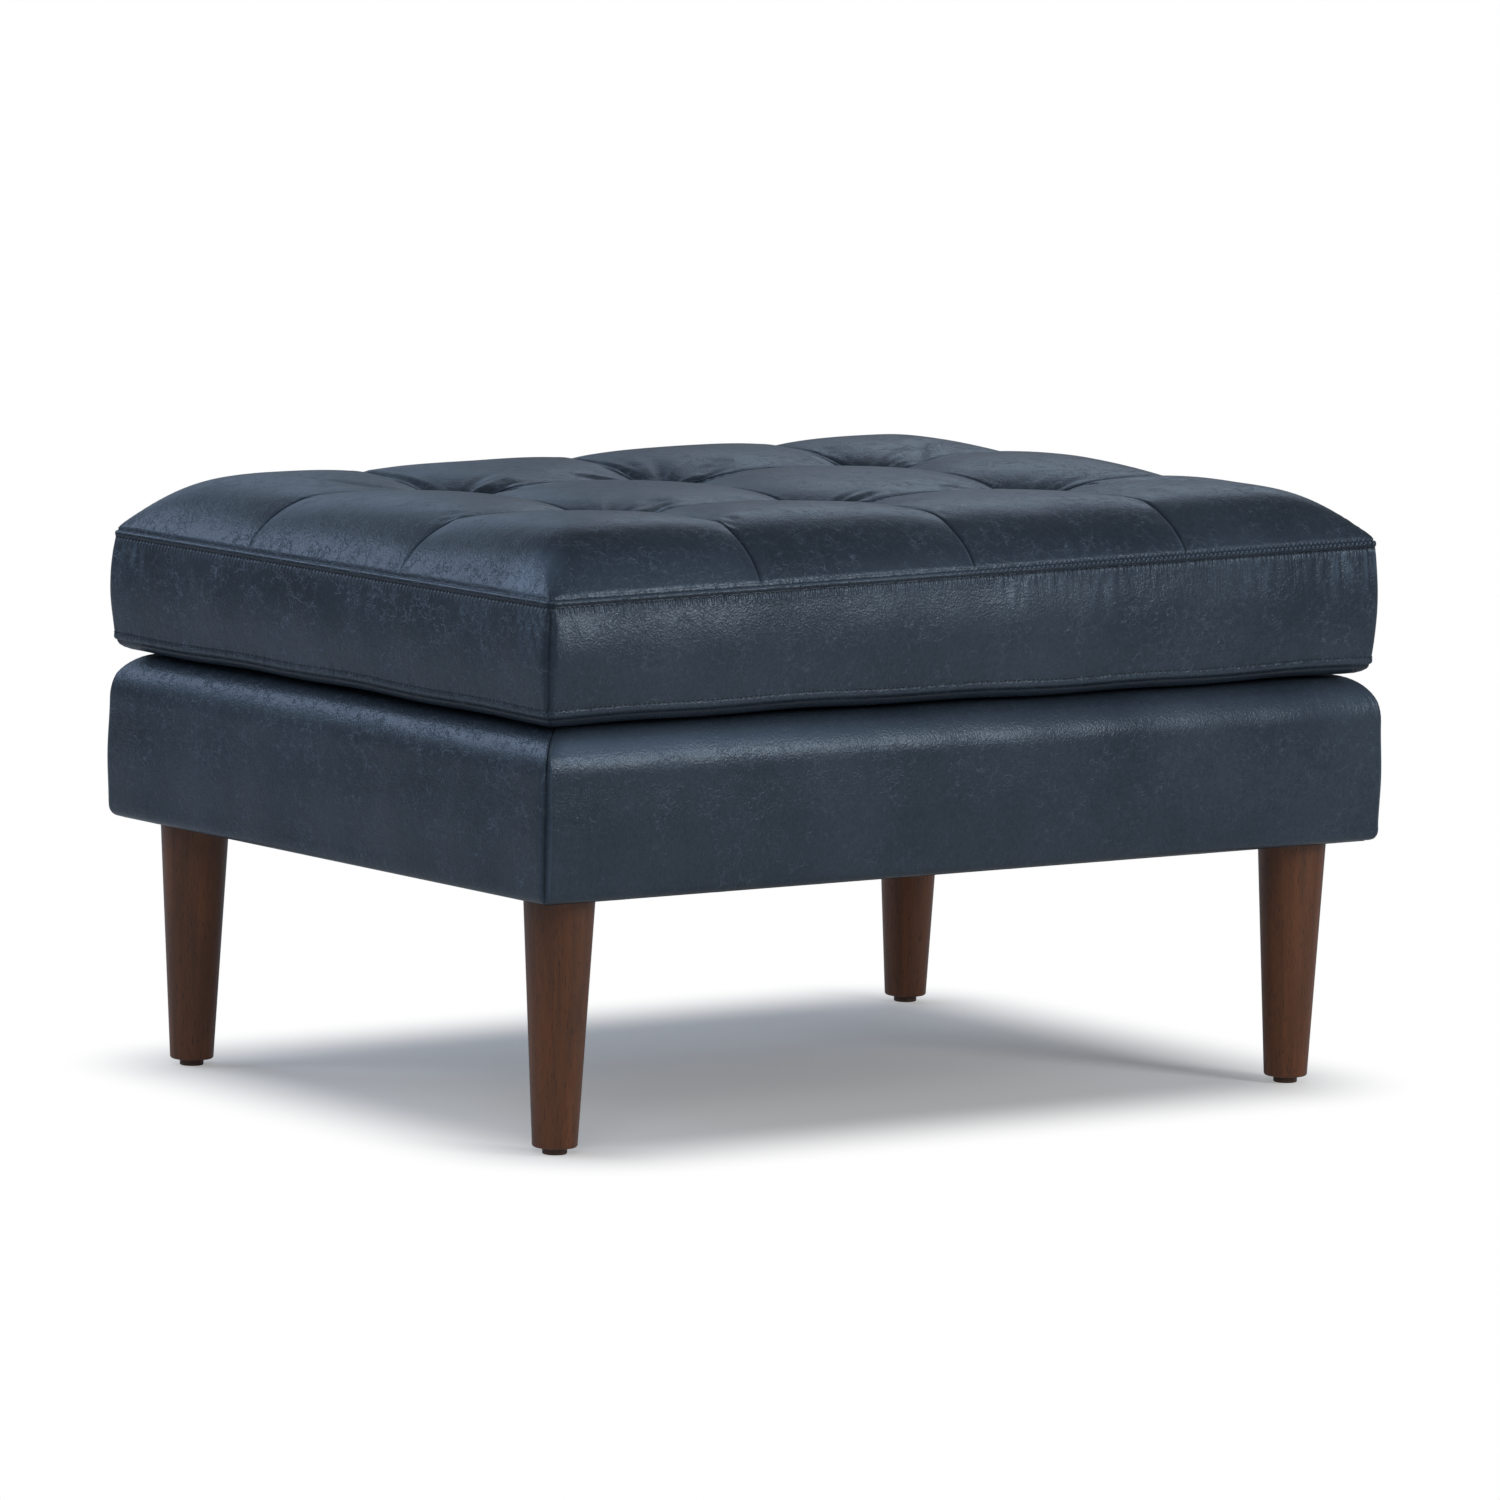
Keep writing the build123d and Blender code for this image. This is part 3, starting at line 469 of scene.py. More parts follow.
def top_height(x, y):
    """Height of the cushion's top above the floor, before its seams and creases."""
    centres_x = [-287, -101, 91, 279] - np.float64(cushion_middle_x)
    rows = np.stack([np.interp(x, centres_x, panel_heights[:, j]) for j in range(3)])
    share = np.interp(y, [-184, 5, 189], [0, 1, 2])
    low = np.clip(share.astype(int), 0, 1)
    picked = np.take_along_axis(rows, low[None], 0)[0]
    full = picked + (np.take_along_axis(rows, low[None] + 1, 0)[0] - picked) * (share - low) + 0.0242 * x
    tuft = tuft_height + 0.009 * x
    across_bulge, along_bulge = panel_bulge(x, column_seams, 3.5), panel_bulge(y, row_seams, 2.3)
    both = across_bulge * along_bulge
    one = across_bulge * (1 - along_bulge) + along_bulge * (1 - across_bulge)
    gap = np.minimum(half_length - np.abs(x), half_depth - np.abs(y))
    saddle = saddle_share + (border_share - saddle_share) * np.clip(1 - gap / 80, 0, 1)
    crown = tuft + (full - tuft) * (both + saddle * one)
    end_shoulder = np.where(x < 0, left_shoulder, right_shoulder)
    end_rise = shoulder_rise(half_length - np.abs(x), end_shoulder, 5.4)
    side_rise = shoulder_rise(half_depth - np.abs(y), side_shoulder, 4.0)
    rise = (end_rise ** -1.5 + side_rise ** -1.5 - 1) ** (-1 / 1.5)
    edge = seam_height + 0.5 + seam_rise(x)
    return edge + (crown - edge) * rise


print("height at a tuft and in a panel:",
      top_height(np.array([column_seams[0], -282.0]), np.array([row_seams[0], -180.0])).round(1))

# %% [markdown]
# ## The cushion: seams and folds of the top
# A tuft pulls the leather down to a point, so there is too much leather round it, and it gathers in
# folds that run out from the tuft. Most of them lie along the seam between two panels. Each fold is
# a valley with a low ridge on each side, which fades out along its length.

# %% Seams and creases of the cushion's top
# Folds at the rear tufts, towards the rear: angle, length and depth.
rear_folds = ((76, 120, 1.6), (83, 150, 2.2), (98, 140, 2.0), (106, 110, 1.5))
# Nicks along the border seam: x and y of the start, angle and length.
border_nicks = ((-371, -264, 62, 26), (-371, -256, 38, 34), (-371, -247, 20, 40),
                (-371, -238, 5, 36), (-371, -226, -8, 30), (-364, -274, 80, 24),
                (-352, -274, 92, 30), (-338, -274, 104, 26), (367, -273, 118, 24),
                (371, -262, 150, 28), (186, -274, 60, 26), (193, -274, 42, 34), (200, -274, 30, 30),
                (-189, -274, 118, 22), (4, -274, 70, 20))


def tuft_distance(x, y):
    """How far away the nearest tuft is."""
    return np.min([np.hypot(x - a, y - b) for a, b in tufts], 0)


def seam_distance(x, y):
    """How far away the nearest seam between two panels is."""
    return np.minimum(np.abs(x[:, None] - column_seams).min(1), np.abs(y[:, None] - row_seams).min(1))


def top_relief(x, y):
    """Height that the seams, puckers and creases add to the cushion's top."""
    away, to_tuft = seam_distance(x, y), tuft_distance(x, y)
    near = fading(to_tuft, 40)
    change = -(1.0 + 1.7 * near) * bell(away, 1.3) - (0.4 + 1.8 * near) * fading(away, 6)
    change -= 2.0 * bell(to_tuft, 9)
    dice = np.random.default_rng(11)
    for tuft in tufts:
        for turn in (-38, -28, -20, -13, -7, 8, 14, 21, 30, 40):
            for side in (0, 180):
                angle, length = side + turn + dice.uniform(-3, 3), dice.uniform(45, 100)
                change += crease(x, y, tuft, angle, length, dice.uniform(1.8, 3.8),
                                 dice.uniform(1.8, 2.8), -0.005 * turn)
        for side in (58, 75, 105, 122, 238, 256, 284, 302):
            angle, length = side + dice.uniform(-8, 8), dice.uniform(32, 72)
            change += crease(x, y, tuft, angle, length, dice.uniform(0.7, 2.0),
                             dice.uniform(2.0, 4.0), dice.uniform(-0.2, 0.2))
        angle = dice.choice([48, 130, 228, 312]) + dice.uniform(-8, 8)
        change += crease(x, y, tuft, angle, dice.uniform(70, 105), 2.4, 5.5, dice.uniform(-0.3, 0.3))
    for number, tuft in enumerate(tufts):
        for angle, length, depth in rear_folds if tuft[1] > 0 else ():
            change += crease(x, y, tuft, angle + number, length, depth, 2.4, 0.02 * (90 - angle))
    for *start, angle, length in border_nicks:
        change += crease(x, y, start, angle, length, 0.9, 2.0)
    return change


print("creases at the tufts:", 29 * len(tufts) + 3 * len(rear_folds))

# %% Creases of the boxing
# Creases that run down from the top seam at the near corner: place along the seam from the corner,
# angle, length, depth and width.
corner_creases = ((-33, -68, 62, 0.9, 2.2), (-25, -62, 46, 1.1, 2.0), (-17, -56, 32, 1.0, 1.7),
                  (-8, -52, 18, 0.8, 1.4), (-80, -76, 34, 0.5, 1.6), (-100, -80, 26, 0.5, 1.6),
                  (10, -66, 40, 0.4, 3.0), (52, -118, 46, 0.3, 2.4), (66, -120, 38, 0.3, 2.0))


def boxing_creases(way, z):
    """How far the creases below the top seam move the boxing out, from the place round the outline."""
    from_corner = np.where(way > 0.75 * cushion_way, way - cushion_way, way)
    change = np.zeros(len(way))
    for start, *shape in corner_creases:
        change += crease(from_corner, z, (start, boxing_top), *shape)
    dice = np.random.default_rng(23)
    for corner in corner_ways:
        for k in range(6):
            start, side = corner + dice.uniform(-40, 40), dice.uniform(-22, 22)
            change += crease(way, z, (start, boxing_top), -90 + side, dice.uniform(18, 50),
                             dice.uniform(0.4, 0.9), dice.uniform(1.6, 2.6))
    for k in range(26):
        start = dice.uniform(390, 745) if k < 17 else dice.uniform(747, 2500)
        change += crease(way, z, (start, boxing_top), dice.uniform(-108, -72), dice.uniform(12, 40),
                         dice.uniform(0.25, 0.7), dice.uniform(1.8, 3.2))
    return change


print("creases of the boxing:", len(corner_creases) + 18 + 26)

# %% [markdown]
# ## The cushion: cloth simulation
# The panels of a real cushion are a little larger than the foam needs, and the wadding presses them
# out from inside. A coarse copy of the cushion goes through that in Blender's Cloth: its tufts, its
# top seam and its underside are held, and the rest is blown up gently without gravity. Round the
# tufts the leather is a few percent too roomy, so it wrinkles there by itself. The movement is
# limited to a few millimetres, and then read at each point of the fine mesh. The seams and folds
# come after it, because they are narrower than a face of the coarse copy.

# %% Run a cloth simulation
def inflate(shell, held, roomy, roomier, most):
    """Blows a coarse shell up from inside and returns how far each of its points moved, in mm. Held
    is 1 where a point can't move, and roomy is 1 where the cover is larger than its shape by the
    share roomier. No point moves further than the given most."""
    for name, weights in (("held", held), ("roomy", roomy)):
        group = shell.vertex_groups.new(name=name)
        for number in np.flatnonzero(weights > 0.01):
            group.add([int(number)], float(weights[number]), "REPLACE")
    cloth = shell.modifiers.new("cloth", "CLOTH")
    for name, value in {"quality": 6, "mass": 0.35, "tension_stiffness": 25,
                        "compression_stiffness": 25, "shear_stiffness": 12,
                        "bending_stiffness": 1.5, "vertex_group_mass": "held",
                        "vertex_group_shrink": "roomy", "shrink_min": 0.0, "shrink_max": -roomier,
                        "use_pressure": True, "uniform_pressure_force": 4}.items():
        setattr(cloth.settings, name, value)
    cloth.settings.effector_weights.gravity = 0
    cloth.point_cache.frame_start, cloth.point_cache.frame_end = 1, 20
    before = points_of(shell) * 1000
    for number in range(1, 21):
        bpy.context.scene.frame_set(number)
    pick(shell)
    bpy.ops.object.modifier_apply(modifier=cloth.name)
    bpy.context.scene.frame_set(1)
    moved = points_of(shell) * 1000 - before
    far = np.linalg.norm(moved, axis=1)
    print(shell.name, "points:", len(moved), "moved in mm, middle and most:",
          np.median(far).round(2), far.max().round(2))
    return moved * np.minimum(1, most / np.maximum(far, 1e-9))[:, None]


# %% Read a coarse movement at finer places
def smooth_read(places, knots, values):
    """Values between knots on a smooth curve through them, along the first axis."""
    slopes = np.gradient(values, knots, axis=0)
    low = np.clip(np.searchsorted(knots, places, side="right") - 1, 0, len(knots) - 2)
    gap = (knots[low + 1] - knots[low])[:, None, None]
    share = ((places - knots[low]) / (knots[low + 1] - knots[low]))[:, None, None]
    start, end = values[low], values[low + 1]
    return (start * (1 - share) ** 2 * (1 + 2 * share) + end * share ** 2 * (3 - 2 * share)
            + gap * slopes[low] * share * (1 - share) ** 2
            - gap * slopes[low + 1] * share ** 2 * (1 - share))


def slow_part(movement, knots, reach):
    """The part of a movement that changes slowly along the first axis."""
    weights = bell(knots[:, None] - knots[None], reach) * np.gradient(knots)[None]
    return np.tensordot(weights / weights.sum(1, keepdims=True), movement, axes=(1, 0))


print("movement is read on smooth curves, because straight ones would show as facets in the gloss")

# %% Points of the cushion
def edge_points(x, y):
    """Which grid points lie on the outline of the cushion."""
    return (np.abs(x) > half_length - 0.01) | (np.abs(y) > half_depth - 0.01)


def cushion_points(x, y, row, rows, relief=0.0, ripple=0.0):
    """Where the grid points of the cushion go: on a wall row, or on the top."""
    on_edge = edge_points(x, y)
    round_way, edge_gap = way_round(x, y, half_length, half_depth)
    wall_z, wall_out = rows[row, 0], rows[row, 1]
    wave = swell(round_way, [cushion_way / n for n in (7, 19, 41)], (0.7, 0.5, 0.3), 3)
    out = wall_out + wave * np.sin(math.pi * np.clip((wall_z - boxing_low) / boxing_span, 0, 1)) + ripple
    lift = np.clip((wall_z - 330) / 60, 0, 1) * seam_rise(x)
    low_wave = swell(round_way, [cushion_way / n for n in (5, 17)], (0.7, 0.5), 5)
    lift += low_wave * np.clip((345 - wall_z) / 25, 0, 1) * (wall_z > 305.4)
    wall_x, wall_y = wall_place(x, y, out, half_length, half_depth, corner_radius)
    top_x, top_y = inside_place(x, y, half_length, half_depth, corner_radius)
    top_z = top_height(x, y) + relief * arch(edge_gap / 14)
    return np.stack([np.where(on_edge, wall_x, top_x), np.where(on_edge, wall_y, top_y),
                     np.where(on_edge, wall_z + lift, top_z)], 1)


print("corner radius of the cushion in mm:", corner_radius)

# %% Simulate the cushion
beside_seam = (0.9, 1.8, 2.9, 4.2, 5.8, 7.6, 9.6, 11.8, 14.1, 16.5, 19.0, 21.6, 24.3, 27.1, 30.0, 33.0)
beside_edge = (1.2, 2.6, 4.2, 6.0, 8.0, 10.2, 12.6)
across = grid_places(half_length, column_seams, beside_seam, beside_edge, 3.6)
along = grid_places(half_depth, row_seams, beside_seam, beside_edge, 3.6)
coarse_across = grid_places(half_length, column_seams, (5.0,), (6.0,), 8.5)
coarse_along = grid_places(half_depth, row_seams, (5.0,), (6.0,), 8.5)
coarse_rows = np.array([0, 4, 7, *range(9, 37, 3), band_stitch_row, band_top_row - 1, len(wall) - 1])
shell, column, line, row = sewn_box("cushion_shell", coarse_across, coarse_along, len(coarse_rows) - 1)
x, y = coarse_across[column], coarse_along[line]
ways, gap = way_round(x, y, half_length, half_depth)
place_points(shell, *cushion_points(x, y, row, wall[coarse_rows]).T)
inner = (row == len(coarse_rows) - 1) & (gap > 0.01)
to_tuft = tuft_distance(x, y)
# Held are the tufts, with a few millimetres round them, the underside and the top seam.
held = np.where(inner, np.clip(1.6 - to_tuft / 8, 0, 1), 0)
held[(row <= 4) | ~inner & (row >= len(coarse_rows) - 3)] = 1
roomy = np.where(inner, bell(to_tuft, 55), 0)
moved = inflate(shell, held, roomy, 0.03, 5.0)
pick(shell)
bpy.ops.object.delete()

# Most of the slow part is taken out again, because the heights of the panels already hold it.
top_moved = np.zeros((len(coarse_along), len(coarse_across), 3))
top_moved[line[inner], column[inner]] = moved[inner]
slow = slow_part(slow_part(top_moved, coarse_along, 45).swapaxes(0, 1), coarse_across, 45).swapaxes(0, 1)
top_moved -= 0.8 * slow
rings = np.array([np.flatnonzero((row == number) & (gap < 0.01)) for number in range(len(coarse_rows))])
rings = np.array([ring[ways[ring].argsort()] for ring in rings])
ring_ways, ring_moved = ways[rings[0]], moved[rings].swapaxes(0, 1)
ring_ways = np.concatenate([ring_ways[-4:] - cushion_way, ring_ways, ring_ways[:4] + cushion_way])
ring_moved = np.concatenate([ring_moved[-4:], ring_moved, ring_moved[:4]])
ring_moved = ring_moved - 0.8 * slow_part(ring_moved, ring_ways, 60)
print("movement kept on the top in mm:", np.abs(top_moved).max().round(2),
      "on the walls:", np.abs(ring_moved).max().round(2))

# %% Shape the cushion
cushion, column, line, row = sewn_box("cushion", across, along, len(wall) - 1)
x, y = across[column], along[line]
on_top = row == len(wall) - 1
on_edge = edge_points(x, y)
round_way, edge_gap = way_round(x, y, half_length, half_depth)
wall_z = wall[row, 0]

# The right part of the front is puckered most. The pull fades out below the top seam and above the
# lip. The border band begins at 394 mm above the floor, and the lip ends at 320.
right_part = np.interp(round_way, [330, 480, 747, 760], [0, 1, 1, 0])
near_band = fading(np.clip(394 - wall_z, 0, None), 4 + 6 * right_part) * (wall_z < 396)
near_lip = fading(np.clip(wall_z - 319.5, 0, None), 3.5) * (wall_z > 314)
pulled_there = 0.4 + 0.8 * right_part
flutter = swell(round_way, [cushion_way / n for n in (101, 157, 211, 283)], (0.2, 0.2, 0.16, 0.1), 4)
flutter *= 0.6 + 0.5 * swell(round_way, [cushion_way / n for n in (13, 31)], (1, 1), 14)
wall_creases = boxing_creases(round_way, wall_z) * (wall_z < 395) * (wall_z > 322)
corner_gap = half_length - np.abs(x) + half_depth - np.abs(y)
in_boxing = on_edge * (wall_z < 394) * (wall_z > 320)
ripple = flutter * (near_band * pulled_there + 0.6 * near_lip) + wall_creases
ripple = ripple - 0.9 * in_boxing * bell(corner_gap, 1.5)
at = cushion_points(x, y, row, wall, top_relief(x, y), ripple)

fine_top = smooth_read(across, coarse_across, smooth_read(along, coarse_along, top_moved).swapaxes(0, 1))
calm = np.clip((edge_gap - 4) / 20, 0, 1)[:, None]
at += np.where(on_top[:, None] & ~on_edge[:, None], fine_top[column, line] * calm, 0)
edge_ways, way_number = np.unique(round_way[on_edge].round(3), return_inverse=True)
fine_wall = smooth_read(edge_ways, ring_ways, ring_moved).swapaxes(0, 1)
fine_wall = smooth_read(np.arange(len(wall)), coarse_rows.astype(float), fine_wall)
at[on_edge] += fine_wall[row[on_edge], way_number]
place_points(cushion, at[:, 0] + cushion_middle_x, at[:, 1], at[:, 2])
cushion_rings, cushion_ways = np.where(on_edge, row, -1), round_way
low, high = points_of(cushion).min(0) * 1000, points_of(cushion).max(0) * 1000
print("cushion points:", len(x), "box in mm:", low.round(), high.round())

# %% [markdown]
# ## The cushion: numbers for its leather
# The mesh is ready. Now each point gets the numbers that the leather reads, and the soft CAD solids
# that the piece stands for are hidden.

# %% Numbers for the leather
seam_gap, to_tuft = seam_distance(x, y), tuft_distance(x, y)
inner = on_top & ~on_edge
beside_x, beside_y = x[:, None] - column_seams, y[:, None] - row_seams
# Painted highlight: a thin pale line along one side of each panel seam.
seam_highlight_side = np.maximum(bell(beside_x + 1.9, 0.9).max(1), bell(beside_y - 1.9, 0.9).max(1))
near_tuft = fading(to_tuft, 35)
# Where a painted highlight patch lies on the top by the near-left corner, and how far a painted highlight
# along the front border reaches from that corner.
corner_highlight_reach = np.hypot((x + half_length - 10) / 16, (y + half_depth - 34) / 26)
front_highlight_share = np.interp(x, [-half_length, -340, -210, -160], [0.2, 1, 1, 0])
# Pale wear and painted highlights: a painted highlight line beside the panel seams and on the top seam's
# edge, pale crease ridges on the boxing, faint painted highlights along the top's border and on the lip,
# and painted highlight patches at the near-left corner and along the front near it.
pale_wear_and_highlight = np.max([inner * 0.6 * seam_highlight_side,
              on_edge * (0.8 - 0.55 * right_part) * bell(wall_z - 400.0, 0.45),
              0.45 * np.clip(wall_creases / 0.35, 0, 1),
              inner * 0.15 * fading(edge_gap, 6.0),
              on_edge * 0.12 * bell(wall_z - 316.6, 1.2),
              inner * 0.85 * bell(corner_highlight_reach, 1),
              inner * 0.26 * front_highlight_share * bell(y + half_depth, 24)], 0)
# Painted shade: dark lines in the panel seams, widening into dark patches round the tufts, the top seam's
# groove, the folded band below it, the lip's stitch line, the leather rolling under below the lip, and the
# boxing's corner seams.
painted_seam_shade = np.max([inner * 0.8 * bell(seam_gap, 1.0 + 2.4 * near_tuft),
                   on_edge * 0.55 * bell(wall_z - 400.6, 0.4),
                   on_edge * 0.8 * np.clip(1.3 - np.abs(wall_z - 397.1) / 2.0, 0, 1),
                   on_edge * 0.3 * bell(wall_z - 320.0, 1.0),
                   on_edge * 0.7 * np.clip((318.4 - wall_z) / 5, 0, 1),
                   0.8 * in_boxing * bell(corner_gap, 0.9)], 0)
pucker = np.where(on_edge, np.maximum(near_band * pulled_there, 0.4 * near_lip), 0.35 * fading(edge_gap, 5))
# Where the leather puffs up between stitches, with a painted highlight spot to each stitch: below the
# stitch row all round, and more strongly on the band's top along the right part of the front.
puff_and_glint_there = on_edge * (bell(wall_z - 393.6, 1.1) + 2.6 * bell(wall_z - 399.8, 0.9) * right_part)
faces_left = (round_way > corner_ways[2]) | (round_way < 0.1)
keep_numbers(cushion, rubbed=pale_wear_and_highlight, sunk=painted_seam_shade, puckered=pucker, gathered=puff_and_glint_there,
             veined=np.where(on_edge, np.where(faces_left, 1.0, 0.45), 0.85))
keep_uv(cushion, round_way, np.where(on_edge, seam_height - wall_z, -edge_gap))
cushion.data.materials.append(leather)
bpy.ops.object.shade_smooth()
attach(cushion, "cushion")
top_nodes = [f"top_panel_{i}_{j}" for i in (1, 2, 3, 4) for j in (1, 2, 3)]
side_names = ("front", "rear", "left", "right")
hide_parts(*top_nodes, *(f"boxing_{s}" for s in side_names), "cushion_bottom_panel",
            "cushion_core", "cushion_wadding")

# %% [markdown]
# ## The tuft cords
# A waxed cord runs from each tuft through the foam to a felt disc. The CAD cords reach higher than
# the bottom of the soft tufts, so each gets a copy that ends just under the leather.

# %% Tuft cords
cord_end = 398.0
cords = bpy.data.objects.new("tuft_cords", nodes["tuft_twines"].data.copy())
bpy.context.collection.objects.link(cords)
pick(cords)
edit(select_all, ("remove_doubles", {"threshold": 0.00001}), face_out)
cord_points = points_of(cords) * 1000
cord_points[cord_points[:, 2] > 400, 2] = cord_end
place_points(cords, *cord_points.T)
bpy.ops.object.shade_smooth_by_angle(angle=math.radians(40))
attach(cords, "cushion")
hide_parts("tuft_twines")
print("cords end at", round(points_of(cords)[:, 2].max() * 1000, 1), "mm, the lowest tuft at",
      at[inner & (to_tuft < 1)][:, 2].min().round(1))

# %% [markdown]
# ## The padded base
# The base is leather pulled over foam on a wooden box. It wraps 60 mm over the deck and 20 mm under
# the rails, with a plain seam at each corner, darkened by painted shade and edged on each side by a
# pale painted highlight line. The top edge is a soft round 30 mm deep and 34 mm high, which catches
# the light and has a painted highlight along it, strongest near the front-left corner. The bottom
# edge is tighter.

# %% Base sizes
base_half_length, base_half_depth, base_corner = 381.0, 279.0, 7.0
base_way = 4 * (base_half_length + base_half_depth)
base_low, base_high, top_round, top_drop, low_round = 183.0, 305.0, 30.0, 34.0, 8.0
deck_margin, wrap, inset = 60.0, 20.0, 0.5
wall_low, wall_high = base_low + low_round, base_high - top_drop
base_wall = [(base_low, -wrap), (base_low, -14.0)]
base_wall += [(wall_low + low_round * math.sin(a), -inset - low_round + low_round * math.cos(a))
              for a in np.radians(np.linspace(-90, 0, 7))]
base_wall += [(z, -inset + 1.3 * math.sin(math.pi * (z - wall_low) / (wall_high - wall_low)) ** 2)
              for z in np.linspace(wall_low, wall_high, 24)[1:-1]]
base_wall += [(wall_high + top_drop * math.sin(a), -inset - top_round + top_round * math.cos(a))
              for a in np.radians(np.linspace(0, 90, 15))]
base_wall += [(base_high, -38.0), (base_high, -46.0), (base_high, -deck_margin)]
base_wall = np.array(base_wall)
print("base wall rows:", len(base_wall))

# %% Shape the base cover
beside_edge = (1.5, 3.0, 4.5, 6.0, 7.5, 9.0, 12.0)
base_across = grid_places(base_half_length, [], [], beside_edge, 4.2)
base_along = grid_places(base_half_depth, [], [], beside_edge, 4.2)
base_cover, column, line, row = sewn_box("base_cover", base_across, base_along, len(base_wall) - 1,
                                         open_top=True)
x, y = base_across[column], base_along[line]
round_way, _ = way_round(x, y, base_half_length, base_half_depth)
wall_z, wall_out = base_wall[row, 0], base_wall[row, 1]
in_wall = np.clip((wall_z - base_low) / 12, 0, 1) * np.clip((base_high + 1 - wall_z) / 20, 0, 1)
corner_gap = base_half_length - np.abs(x) + base_half_depth - np.abs(y)
wave = swell(round_way, [base_way / n for n in (5, 13, 31)], (0.6, 0.5, 0.35), 8)
bent_out = wall_out + in_wall * wave - 1.2 * bell(corner_gap, 1.6)
wall_x, wall_y = wall_place(x, y, bent_out, base_half_length, base_half_depth, base_corner)
place_points(base_cover, wall_x, wall_y, wall_z)
# A painted highlight along the base's rounded top edge, strongest just right of the front-left corner and
# faint elsewhere; a pale painted highlight line beside each corner seam, and painted shade in the seam
# itself.
edge_highlight_along = np.interp(round_way, [0, 20, 160, 420, 2500, base_way], [0.2, 1, 0.7, 0.25, 0.25, 0.5])
highlight_on_round = bell(wall_z - 290, 9) * edge_highlight_along
faces_left = (round_way > base_way - 2 * base_half_depth) | (round_way < 0.1)
keep_numbers(base_cover, rubbed=np.maximum(in_wall * 0.3 * bell(corner_gap - 4.0, 1.3), 0.9 * highlight_on_round),
             sunk=0.85 * bell(corner_gap, 1.0),
             puckered=0.7 * fading(np.abs(wall_z - 285), 9) * fading(corner_gap, 25),
             gathered=np.zeros(len(wall_z)), veined=np.where(faces_left, 0.9, 0.3))
keep_uv(base_cover, round_way, wall_z)
print("base cover points:", len(base_cover.data.vertices))

# %% Give the base cover its thickness
def thicken(piece, thickness):
    """Gives a surface its thickness, to the inside."""
    pick(piece)
    made = piece.modifiers.new("solidify", "SOLIDIFY")
    made.thickness, made.offset = thickness, -1.0
    bpy.ops.object.modifier_apply(modifier=made.name)


hide_thickness = 0.0014
thicken(base_cover, hide_thickness)
base_cover.data.materials.append(leather)
bpy.ops.object.shade_smooth()
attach(base_cover, "base")
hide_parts(*(f"base_cover_{s}" for s in side_names), *(f"side_foam_{s}" for s in side_names),
            "deck_foam")
print("base cover thickness in mm:", hide_thickness * 1000)

# %% [markdown]
# ## Cloth panels
# Three plain cloth panels finish the base. A canvas panel covers the middle of the deck, where the
# cushion hides it. A black spunbonded cloth closes the underside, and a deck cloth lies over the
# springs. Each is a thin sheet: a grid that sags a little between its fixings, given a thickness.

# %% Cloth materials
def cloth_material(name, light_tone, dark_tone, thread, roughness):
    """A plain woven or pressed cloth whose threads cross at the given spacing in metres."""
    made = new_material(name, roughness)
    where = add_node(made, "TexCoord", take="Object")
    sockets = {"Scale": 1 / thread / 6.28, "Distortion": 0.6, "Vector": where}
    weft, warp = (add_node(made, "TexWave", sockets, "Fac", bands_direction=axis) for axis in "XY")
    crossing = add_node(made, "Math", {0: weft, 1: warp}, operation="MULTIPLY")
    slubs = add_node(made, "TexNoise", {"Scale": 1 / 0.012, "Detail": 4, "Vector": where})
    share = add_node(made, "Math", {0: crossing, 1: slubs}, operation="MULTIPLY")
    colour = add_node(made, "Mix", {0: share, 6: linear(dark_tone), 7: linear(light_tone)}, 2,
                      data_type="RGBA")
    bump = add_node(made, "Bump", {"Strength": 0.5, "Distance": thread / 2, "Height": crossing})
    to_shader(made, Base_Color=colour, Normal=bump)
    return made


canvas = cloth_material("woven_cotton_canvas_navy", "#46525F", "#222B35", 0.0016, 0.85)
dust_cloth = cloth_material("spunbonded_polypropylene_black", "#2A2A2C", "#101012", 0.0014, 0.75)
print("cloth materials:", canvas.name, dust_cloth.name)


# %% Cloth panels
def cloth_panel(name, node, body, material, sag):
    """A sheet in the place of a CAD node, sagging between its edges."""
    low, high = (np.array(corner) * 1000 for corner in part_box(node))
    half_x, half_y = (high[0] - low[0]) / 2, (high[1] - low[1]) / 2
    pick()
    bpy.ops.mesh.primitive_grid_add(x_subdivisions=72, y_subdivisions=52, size=2)
    panel = bpy.context.object
    panel.name = panel.data.name = name
    at = points_of(panel)
    x, y = at[:, 0] * half_x, at[:, 1] * half_y
    belly = (1 - at[:, 0] ** 2) * (1 - at[:, 1] ** 2)
    ripple = 0.3 * np.sin(x / 23 + np.sin(y / 31)) * np.sin(y / 19) * np.clip(belly * 4, 0, 1)
    place_points(panel, x + (low[0] + high[0]) / 2, y, high[2] + sag * belly + ripple * abs(sag) / 2)
    thicken(panel, 0.0007)
    panel.data.materials.append(material)
    bpy.ops.object.shade_smooth()
    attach(panel, body)
    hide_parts(node)
    print(name, "in mm:", round(2 * half_x), "by", round(2 * half_y))


cloth_panel("deck_canvas", "deck_cover", "base", canvas, -0.8)
cloth_panel("dust_cloth", "dust_cover", "base", dust_cloth, -3.0)
cloth_panel("spring_cloth", "deck_cloth", "base", dust_cloth, -0.4)

# %% [markdown]
# ## Stitches
# The seams of the cushion are top-stitched with a bonded thread 0.7 mm thick, about six stitches
# to the inch. The thread is drawn 0.85 mm thick, so that it shows in the picture. One stitch is a
# short round bar that dips at its ends, and it is copied along a row of the cushion's own points, so
# that it follows every pucker.

